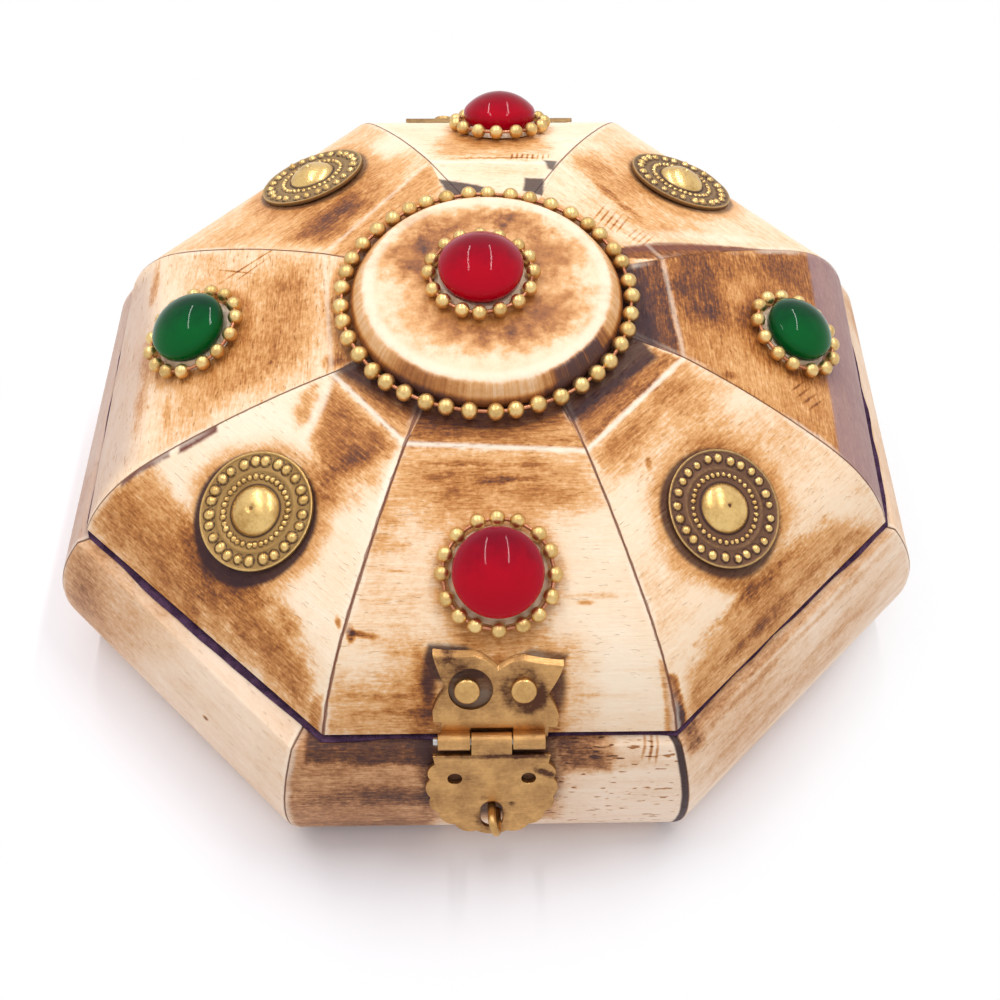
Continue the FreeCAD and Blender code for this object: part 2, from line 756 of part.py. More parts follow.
def staple_path(depth):
    # Two legs and a half circle, square to the drop leaf
    root = -barrel_radius + sheet + depth
    tip = -barrel_radius - staple_reach
    high, low = staple_half_gap, -staple_half_gap
    return Part.Wire([
        Part.makeLine(vec(0, root, high), vec(0, tip, high)),
        Part.Arc(vec(0, tip, high), vec(0, tip - staple_half_gap, 0), vec(0, tip, low)).toShape(),
        Part.makeLine(vec(0, tip, low), vec(0, root, low))])


def staple(radius):
    # The leaf stands off the bone by a little more than its gap, so the legs go deeper by that much
    path = staple_path(staple_depth + drop_gap)
    start = path.Edges[0].valueAt(path.Edges[0].FirstParameter)
    ring = Part.Wire(Part.makeCircle(radius, start, vec(0, 1, 0)))
    body = path.makePipeShell([ring], True, False)
    body.rotate(vec(0, 0, 0), vec(0, 1, 0), -staple_twist)
    body.translate(vec(staple_shift, 0, -staple_fall))
    return leaned(body)


def hinge_lid_leaf():
    drawn = outline_prism(eared_outline(hinge_half_width, hinge_lid_rise, hinge_half_barrel))
    leaf = bent_lid_sheet(BACK, hinge_half_width).common(drawn)
    spans = [(-hinge_half_knuckle, hinge_half_knuckle)]
    room = window(hinge_half_barrel + over)
    leaf = leaf.cut(room.cut(window(hinge_half_knuckle)))
    leaf = turned(bored(leaf, spans), BACK)
    for point, normal, _ in nail_seats_lid():
        leaf = leaf.cut(drill(nail_shank + hole_clearance, point, normal))
    return leaf


def hinge_base_leaf():
    inner = bulge_radius + leaf_seat
    middle = vec(-far / 2.0, -bulge_centre, base_height / 2.0)
    bent = Part.makeCylinder(inner + sheet, far, middle, vec(1, 0, 0))
    bent = bent.cut(Part.makeCylinder(inner, far, middle, vec(1, 0, 0)))
    neck = hinge_half_barrel

    def at(share):
        return (hinge_half_width * share[0], base_height - hinge_base_drop * share[1])

    hip, cheek, point = at(SKIRT_HIP), at(SKIRT_CHEEK), at((0, 1))
    right = [line((neck, base_height), (neck, hip[1])), line((neck, hip[1]), hip),
             arc(hip, at(SKIRT_SWELL), cheek), arc(cheek, at(SKIRT_SWEEP), point)]
    outline = right + mirrored(right) + [line((neck, base_height), (-neck, base_height))]
    front_half = Part.makeBox(far, far, far, vec(-far / 2.0, -far - bulge_centre, -far / 2.0))
    leaf = bent.common(front_half).common(outline_prism(outline))
    strip_depth = pin_height - base_height + sheet
    strip = Part.makeBox(2.0 * neck, sheet, strip_depth,
                         vec(-neck, -pin_apothem - barrel_radius, pin_height - strip_depth))
    leaf = bored(leaf.fuse(strip), [(-neck, neck)])
    leaf = turned(leaf.cut(window(hinge_half_knuckle + knuckle_gap)), BACK)
    for point, normal, _ in nail_seats_base():
        leaf = leaf.cut(drill(nail_shank + hole_clearance, point, normal))
    return leaf


def hinge_pin():
    return turned(tube(pin_radius, -hinge_half_barrel, hinge_half_barrel), BACK)


def pieces():
    made = {"base_board": base_board(), "base_staves": base_staves()}
    carcass = octagon_block(carcass_apothem, -over, carcass_apothem, base_height + over)
    for side, name in enumerate(SIDES):
        made["base_bone_" + name] = base_plate(side, carcass)
    made["base_bone_front"] = made["base_bone_front"].cut(staple(staple_wire + hole_clearance))
    made["base_bone_back"] = shank_holes(made["base_bone_back"], nail_seats_base(), nail_shank, nail_length)
    made["base_floor_lining"] = floor_lining()
    made["base_wall_lining"] = wall_lining()
    made["base_rim_velvet"] = rim_velvet()
    made["staple"] = staple(staple_wire)
    made["hinge_base_leaf"] = hinge_base_leaf()
    made["hinge_base_nails"] = fixings(nail_seats_base(), nail_head, nail_cap, nail_shank, nail_length)
    made["hinge_pin"] = hinge_pin()
    made["lid_staves"] = lid_staves()
    made["lid_top_board"] = lid_top_board()
    made["lid_lining"] = lid_lining()
    carcass = lid_carcass_blank()
    for side, name in enumerate(SIDES):
        made["lid_gore_" + name] = lid_gore(side, carcass)
    made["lid_gore_front"] = shank_holes(made["lid_gore_front"], rivet_seats(), rivet_shank, rivet_length)
    made["lid_gore_back"] = shank_holes(made["lid_gore_back"], nail_seats_lid(), nail_shank, nail_length)
    made["lid_disc"] = lid_disc()
    made["disc_bead_chain"] = disc_chain()
    x, y, radius = CENTRE_STONE
    seats = {"centre": (radius, (vec(x, y, crown + disc_thickness), vec(0, 0, 1), vec(1, 0, 0)))}
    for name, (apothem, aside, radius) in STONES.items():
        seats[name] = (radius, gore_seat(SIDES.index(name), apothem, aside))
    for name, (radius, (point, normal, along)) in seats.items():
        raised = point + normal * stone_seat
        chain = ball_chain(radius + chain_gap + bead_radius, bead_radius, bead_pitch)
        made["cabochon_" + name] = placed(stone(radius), raised, normal, along)
        made["bead_chain_" + name] = placed(chain, raised, normal, along)
    boss = rosette()
    for name, (apothem, aside) in ROSETTES.items():
        point, normal, along = gore_seat(SIDES.index(name), apothem, aside)
        made["rosette_" + name] = placed(boss, point + normal * stone_seat, normal, along)
    made["hasp_lid_leaf"] = hasp_lid_leaf()
    made["hasp_rivets"] = fixings(rivet_seats(), rivet_head, rivet_cap, rivet_shank, rivet_length)
    made["hasp_pin"] = hasp_pin()
    made["hinge_lid_leaf"] = hinge_lid_leaf()
    made["hinge_lid_nails"] = fixings(nail_seats_lid(), nail_head, nail_cap, nail_shank, nail_length)
    made["hasp_drop_leaf"] = hasp_drop_leaf()
    return made


os.makedirs("parts", exist_ok=True)
for name, shape in pieces().items():
    shape.exportStep("parts/" + name + ".step")
    print(name, len(shape.Solids), shape.isValid(), round(shape.Volume, 2))
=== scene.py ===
import json
import math
import random

import bmesh
import bpy
import numpy as np
from mathutils import Matrix, Vector, noise

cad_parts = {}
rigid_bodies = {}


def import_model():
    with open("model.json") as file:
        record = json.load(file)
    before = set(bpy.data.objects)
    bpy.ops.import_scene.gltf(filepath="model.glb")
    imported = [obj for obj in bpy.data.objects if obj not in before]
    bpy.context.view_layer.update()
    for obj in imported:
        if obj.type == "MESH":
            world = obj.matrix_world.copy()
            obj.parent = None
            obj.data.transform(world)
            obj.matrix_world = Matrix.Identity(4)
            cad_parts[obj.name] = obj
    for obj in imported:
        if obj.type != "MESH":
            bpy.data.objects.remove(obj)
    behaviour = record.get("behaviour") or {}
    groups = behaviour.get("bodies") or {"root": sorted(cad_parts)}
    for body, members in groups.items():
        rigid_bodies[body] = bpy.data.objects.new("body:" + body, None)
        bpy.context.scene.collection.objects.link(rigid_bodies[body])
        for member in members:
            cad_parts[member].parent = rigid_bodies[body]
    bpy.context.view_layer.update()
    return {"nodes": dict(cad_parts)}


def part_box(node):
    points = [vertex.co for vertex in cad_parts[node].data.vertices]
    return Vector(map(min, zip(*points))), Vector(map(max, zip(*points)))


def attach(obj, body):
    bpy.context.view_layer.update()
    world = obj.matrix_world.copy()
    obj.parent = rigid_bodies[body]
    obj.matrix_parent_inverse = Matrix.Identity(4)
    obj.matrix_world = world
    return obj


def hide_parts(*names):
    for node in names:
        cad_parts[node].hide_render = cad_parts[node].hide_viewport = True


# Octagonal trinket box of stained bone plates, with glass stones, ball chain and brass fittings
for old in list(bpy.data.objects):
    bpy.data.objects.remove(old)
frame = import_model()
nodes = frame["nodes"]
mm = 0.001
eighth = math.pi / 8
sideNames = ["front", "front_right", "right", "back_right", "back", "back_left", "left", "front_left"]
stoneSpots = ["centre", "front", "right", "back", "left"]
print("frame loaded:", len(nodes), "nodes")


def seen(red, green, blue):             # a colour as it looks on a screen, 0 to 255
    def linear(value):
        value = value / 255
        return value / 12.92 if value <= 0.04045 else ((value + 0.055) / 1.055) ** 2.4
    return (linear(red), linear(green), linear(blue), 1.0)


class Wire:                             # a socket that takes part in Python sums
    def __init__(self, graph, socket):
        self.graph, self.socket = graph, socket

    def sum(self, kind, first, second):
        return self.graph.add("ShaderNodeMath", {"operation": kind}, {0: first, 1: second})

    def __add__(self, other): return self.sum("ADD", self, other)
    def __radd__(self, other): return self.sum("ADD", other, self)
    def __sub__(self, other): return self.sum("SUBTRACT", self, other)
    def __rsub__(self, other): return self.sum("SUBTRACT", other, self)
    def __mul__(self, other): return self.sum("MULTIPLY", self, other)
    def __rmul__(self, other): return self.sum("MULTIPLY", other, self)
    def __truediv__(self, other): return self.sum("DIVIDE", self, other)
    def __abs__(self): return self.sum("ABSOLUTE", self, 0.0)
    def most(self, other): return self.sum("MAXIMUM", self, other)
    def least(self, other): return self.sum("MINIMUM", self, other)


class Graph:                            # a tree of shader nodes
    def __init__(self, tree):
        self.tree = tree

    def add(self, kind, settings, values, out=0):
        node = self.tree.nodes.new(kind)
        for key, value in settings.items():
            if key == "stops":
                ramp = node.color_ramp
                while len(ramp.elements) < len(value):
                    ramp.elements.new(0.5)
                for element, (place, colour) in zip(ramp.elements, value):
                    element.position, element.color = place, colour
            else:
                setattr(node, key, value)
        for key, value in values.items():
            if isinstance(value, Wire):
                self.tree.links.new(value.socket, node.inputs[key])
            else:
                node.inputs[key].default_value = value
        return Wire(self, node.outputs[out])

    def shift(self, vector, place=(0, 0, 0), turn=0.0, scale=(1, 1, 1), kind="POINT"):
        rotation = (0, 0, math.radians(turn))
        return self.add("ShaderNodeMapping", {"vector_type": kind},
                        {"Vector": vector, "Location": place, "Rotation": rotation, "Scale": scale})

    def cloud(self, vector, scale, detail=3.0, rough=0.55):
        return self.add("ShaderNodeTexNoise", {},
                        {"Vector": vector, "Scale": scale, "Detail": detail, "Roughness": rough}, "Fac")

    def ease(self, value, low, high):   # 0 below low, 1 above high
        if low > high:
            return 1 - self.ease(value, high, low)
        return self.add("ShaderNodeMapRange", {"interpolation_type": "SMOOTHSTEP"},
                        {"Value": value, "From Min": low, "From Max": high})

    def parts(self, vector):
        node = self.add("ShaderNodeSeparateXYZ", {}, {0: vector}).socket.node
        return [Wire(self, socket) for socket in node.outputs]

    def joined(self, x, y, z=0.0):
        return self.add("ShaderNodeCombineXYZ", {}, {0: x, 1: y, 2: z})

    def length(self, vector):
        return self.add("ShaderNodeVectorMath", {"operation": "LENGTH"}, {0: vector}, "Value")

    def dot(self, vector, fixed):
        return self.add("ShaderNodeVectorMath", {"operation": "DOT_PRODUCT"}, {0: vector, 1: fixed}, "Value")

    def blend(self, share, first, second):
        return self.add("ShaderNodeMix", {"data_type": "RGBA"}, {0: share, 6: first, 7: second}, 2)

    def ramp(self, value, stops):
        return self.add("ShaderNodeValToRGB", {"stops": stops}, {0: value})

    def mostOf(self, wires):
        top = wires[0]
        for wire in wires[1:]:
            top = top.most(wire)
        return top

    def lookedAt(self):                 # 1 where it is seen, 0 where it sheds light
        path = self.add("ShaderNodeLightPath", {}, {}).socket.node
        camera, glossy, through = (Wire(self, path.outputs["Is " + ray + " Ray"])
                                   for ray in ("Camera", "Glossy", "Transmission"))
        return (camera + glossy + through).least(1.0)


class Finish(Graph):                    # one material
    blurFrom = 0.6                      # stains with an edge at least this soft, in mm, are widened by blur

    def __init__(self, name, **fixed):
        self.material = bpy.data.materials.new(name)
        self.material.use_nodes = True
        super().__init__(self.material.node_tree)
        self.shader = self.tree.nodes["Principled BSDF"]
        for socket, value in fixed.items():
            self.shader.inputs[socket.replace("_", " ")].default_value = value
        self.blur = 1.0
        spot = self.add("ShaderNodeTexCoord", {}, {}, "Object")
        self.mmSpot = self.shift(spot, scale=(1000, 1000, 1000))

    def feed(self, **wires):
        for socket, wire in wires.items():
            self.tree.links.new(wire.socket, self.shader.inputs[socket.replace("_", " ")])

    def relief(self, height, depth):
        self.feed(Normal=self.add("ShaderNodeBump", {}, {"Height": height, "Distance": depth}))

    def stain(self, flat, row, wander):  # row: an outline or an oval, then strength, soft edge and wander
        if isinstance(row[0], list):
            outline, rest = row[0], row[1:]
            pairs = list(zip(outline, outline[1:] + outline[:1]))
            hand = 1 if sum(ax * by - bx * ay for (ax, ay), (bx, by) in pairs) > 0 else -1
            inside = None
            for (ax, ay), (bx, by) in pairs:
                run = Vector((bx - ax, by - ay)).normalized() * hand
                off = self.dot(flat, (-run.y, run.x, 0)) + (ax * run.y - ay * run.x)
                inside = off if inside is None else inside.least(off)
            usual = (0.3, 0.8, 1.0)
        else:
            cx, cy, long, wide, turn = row[:5]
            rest = row[5:]
            thin = min(long, wide)
            reach = self.length(self.shift(flat, (cx, cy, 0), turn, (long, wide, 1), "TEXTURE"))
            inside = (1 - reach) * thin
            usual = (0.3, thin * 0.5, min(1.0, thin * 0.5))
        strength, soft, rag = rest + usual[len(rest):]
        soft = soft * self.blur if soft >= self.blurFrom else soft
        return self.ease(inside + wander * rag, -soft, soft) * strength


def settle(name, bm, materials, body, replaced=(), sharp=None):
    for face in bm.faces:
        face.smooth = True
    if sharp is not None:
        for edge in bm.edges:
            edge.smooth = edge.calc_face_angle(0.0) < math.radians(sharp)
    mesh = bpy.data.meshes.new(name)
    bm.to_mesh(mesh)
    bm.free()
    piece = bpy.data.objects.new(name, mesh)
    bpy.context.scene.collection.objects.link(piece)
    for material in materials:
        mesh.materials.append(material)
    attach(piece, body)
    if replaced:
        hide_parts(*replaced)
    return piece


def repaint(node, material):
    slots = nodes[node].data.materials
    for index in range(len(slots)):
        slots[index] = material
    if not len(slots):
        slots.append(material)


rubbed = dict(merge=1e-6, flat=0.5, sharp=32, smooth=20)    # metres, then degrees between faces


def softened(node, name, material, body, width):      # a merged copy of a node, its edges rubbed round
    bm = bmesh.new()
    bm.from_mesh(nodes[node].data)
    bmesh.ops.remove_doubles(bm, verts=bm.verts, dist=rubbed["merge"])
    bmesh.ops.dissolve_limit(bm, angle_limit=math.radians(rubbed["flat"]), verts=bm.verts, edges=bm.edges)
    edges = [edge for edge in bm.edges if edge.calc_face_angle(0.0) > math.radians(rubbed["sharp"])]
    bmesh.ops.bevel(bm, geom=edges, offset=width * mm, offset_type="OFFSET", affect="EDGES", segments=2,
                    profile=0.5, material=-1, clamp_overlap=False)
    return settle(name, bm, [material], body, [node], sharp=rubbed["smooth"])


def seatOf(node):                       # a round node's own frame: foot of its axis, and the axis as +Z
    points = np.array([v.co for v in nodes[node].data.vertices], float)
    middle = points.mean(0)
    spread, axes = np.linalg.eigh(np.cov((points - middle).T))
    flat = spread[1] - spread[0] > spread[2] - spread[1]
    axis = Vector(axes[:, 0 if flat else 2])
    if axis.z < 0:
        axis = -axis
    side = Vector((0, 1, 0)).cross(axis).normalized()
    turn = Matrix((side, axis.cross(side), axis)).transposed()
    local = (points - middle) @ np.array(turn)
    low, high = local.min(0), local.max(0)
    foot = Vector(middle) + turn @ Vector(((low[0] + high[0]) / 2, (low[1] + high[1]) / 2, low[2]))
    seat = turn.to_4x4()
    seat.translation = foot
    return seat, (high[0] - low[0]) / 2, high[2] - low[2]


# Bone: how dark the stain is at a point picks the colour; the base walls' ramp also holds painted shade
boneStops = [
    (0.00, seen(251, 231, 206)),
    (0.15, seen(246, 216, 183)),
    (0.32, seen(225, 169, 111)),
    (0.50, seen(190, 126, 66)),
    (0.66, seen(154, 92, 44)),
    (0.82, seen(114, 66, 40)),
    (1.00, seen(80, 48, 44)),
]
# The same bone with painted shade: a darker ramp for the upright walls of the base, where less light falls
shadedWallStops = [
    (0.00, seen(243, 219, 196)),
    (0.16, seen(230, 195, 162)),
    (0.34, seen(208, 157, 112)),
    (0.52, seen(170, 117, 76)),
    (0.72, seen(120, 76, 50)),
    (1.00, seen(76, 49, 44)),
]
# Dark filler in joints and cracks; the same colour paints shadow by the disc's chain and round the rosettes
darkFillAndShadowColour = seen(54, 30, 36)
rustColour = seen(118, 68, 58)
# Pale colour of rubbed wear; along the joints it also paints the highlight of their rounded edges
wearAndGlintColour = seen(255, 240, 222)
mauveColour = seen(150, 122, 128)
jointColour = seen(132, 82, 62)
discCentre = (-1.1, -0.1)
usualPlate = dict(broad=0.34, streak=0.16, mottle=0.60, pores=0.05, poreFrom=0.66, ridge=0.8, foot=0.38)


def boneFinish(name, plate, wall=False):
    f = Finish(name, Specular_IOR_Level=0.20)
    f.blur = 1.7
    along = f.shift(f.mmSpot, turn=-plate["turn"])      # x runs along the plate, -y points out of it
    x, y, _ = f.parts(f.mmSpot)
    alongX, _, alongZ = f.parts(along)
    plan = f.joined(x, y)
    flat = f.joined(alongX, alongZ) if wall else plan   # the map that the stains are drawn on
    moved = f.shift(along, place=(0, 0, plate["grainShift"]))
    grain = f.shift(moved, scale=(0.11, 1, 1))
    even = f.shift(moved, scale=(0.8, 1, 1))
    broad = f.cloud(even, 0.075, 3.0)
    mottle = f.cloud(even, 0.45, 6.0, 0.64)
    speck = f.cloud(even, 1.8, 4.0, 0.7)
    streak = f.cloud(grain, 0.8, 4.0, 0.6)
    hair = f.cloud(f.shift(grain, scale=(0.6, 1, 1)), 4.0, 2.0, 0.6)
    pits = f.cloud(f.shift(moved, scale=(0.26, 1, 1)), 2.3, 1.0, 0.5)
    pore = f.ease(pits, plate["poreFrom"], 0.74)
    if "poreSide" in plate:             # open pores on one half of the plate only
        pore = pore * f.ease(alongX, *plate["poreSide"])
    hatch = f.cloud(f.shift(moved, turn=32, scale=(0.22, 1, 1)), 3.4, 3.0, 0.6)
    wander = (mottle - 0.5) * 1.5 + (broad - 0.5) * 2.0 + (speck - 0.5) * 0.4       # moves edges about, in mm

    def lineOff(ax, ay, bx, by):
        run = Vector((bx - ax, by - ay)).normalized()
        return abs(f.dot(plan, (-run.y, run.x, 0)) + (ax * run.y - ay * run.x))

    stained = plate["tint"] + (broad - 0.5) * plate["broad"] + (streak - 0.5) * plate["streak"]
    for row in plate["stains"]:
        stained = stained + f.stain(flat, row, wander)
    darkAndShadowMasks = []                          # dark filler, and painted shadow by the disc's chain and round the rosettes, wherever it shows
    if "chainShadow" in plate:                # painted shadow along the disc's chain: dark out to the edge, then a brown band past it
        edge, strength = plate["chainShadow"]
        out = f.length(f.shift(plan, place=(-discCentre[0], -discCentre[1], 0))) + wander * 0.4
        stained = stained + f.ease(out, edge + 1.8, edge) * 0.24
        darkAndShadowMasks.append(f.ease(out, edge, edge - 0.7) * strength)
    rough = stained.most(0.05)          # brown parts are more mottled than pale ones
    amount = stained + (mottle - 0.5) * (rough * plate["mottle"] + 0.05)
    amount = amount + (speck - 0.5) * (rough * 0.6 + 0.05) + (hatch - 0.5) * (rough * 0.8 + 0.06)
    amount = amount + (hair - 0.5) * (rough * 0.5 + 0.08) + pore * plate["pores"]
    # upright walls take the darker ramp, which is painted shade
    colour = f.ramp(amount, shadedWallStops if wall else boneStops)
    for kind, tint in (("mauve", mauveColour), ("pale", wearAndGlintColour), ("rust", rustColour)):
        for row in plate.get(kind, []):
            colour = f.blend(f.stain(flat, row, wander), colour, tint)
    for ax, ay, bx, by, width, strength in plate.get("worn", []):
        wear = f.ease(lineOff(ax, ay, bx, by) + (mottle - 0.5) * width, width, width * 0.1)
        colour = f.blend(wear * strength * f.ease(broad, 0.22, 0.42), colour, wearAndGlintColour)
    lines = []
    for ax, ay, bx, by, width, depth in plate["joints"]:
        off = lineOff(ax, ay, bx, by)
        # pale patches along each joint: rubbed wear, and painted highlight of the rounded joint edges
        jointWearAndGlint = f.ease(off + (mottle - 0.5) * 1.2, 1.0, 0.3) * f.ease(broad, 0.40, 0.58)
        colour = f.blend(jointWearAndGlint * 0.40, colour, wearAndGlintColour)
        line = f.ease(off + (mottle - 0.5) * width * 2.0, width, width * 0.35)
        lines.append(line * (0.45 + mottle * 0.7) * depth)
    crack = f.mostOf(lines)
    colour = f.blend(crack.least(1.0), colour, jointColour)
    darkAndShadowMasks += [f.stain(flat, row, wander) for row in plate.get("darkFillAndShadow", [])]
    if "strip" in plate:                # filler that shows at the right end of the plate
        *ends, width = plate["strip"]
        darkAndShadowMasks.append(f.ease(lineOff(*ends) + wander * 0.15, width, width - 0.3) * 0.97)
    if darkAndShadowMasks:
        fillAndShadowShare = f.mostOf(darkAndShadowMasks)
        colour = f.blend(fillAndShadowShare.least(1.0), colour, darkFillAndShadowColour)
        crack = crack.most(fillAndShadowShare)
    f.feed(Base_Color=colour, Roughness=0.30 + mottle * 0.20 + hair * 0.12)
    f.relief(hair * 0.4 + streak * 0.4 + speck * 0.3 - pore * 0.6 - crack, 0.00012)
    return f.material


# Plan of the plates' corners, in millimetres; the box is ground by hand, so they stray from a true octagon
seamApothem, rimApothem = 56.0, 57.5
seamShifts = {6: (-0.8, 0.0), 7: (-2.2, 0.0)}
rimShifts = {0: (-3.5, 0.0), 3: (-1.3, 0.0), 6: (0.5, 0.0), 7: (-2.0, -0.9)}


def cornerOf(index, apothem, shifts):
    angle = (2 * index - 1) * eighth - math.pi / 2
    reach = apothem / math.cos(eighth)
    return Vector((reach * math.cos(angle), reach * math.sin(angle))) + Vector(shifts.get(index % 8, (0, 0)))


seamCorners = [cornerOf(k, seamApothem, seamShifts) for k in range(8)]
rimCorners = [cornerOf(k, rimApothem, rimShifts) for k in range(8)]
breakCorners = [Vector(c) for c in ((-12.17, -23.6), (11.77, -25.0), (26.0, -9.17), (24.4, 9.37),
                                    (10.27, 30.3), (-9.37, 30.8), (-24.4, 10.77), (-22.4, -11.47))]
usualJoint = (0.17, 1.0)                # half width and darkness
jointLooks = {0: (0.30, 1.2), 1: (0.24, 1.15), 3: (0.17, 0.3)}
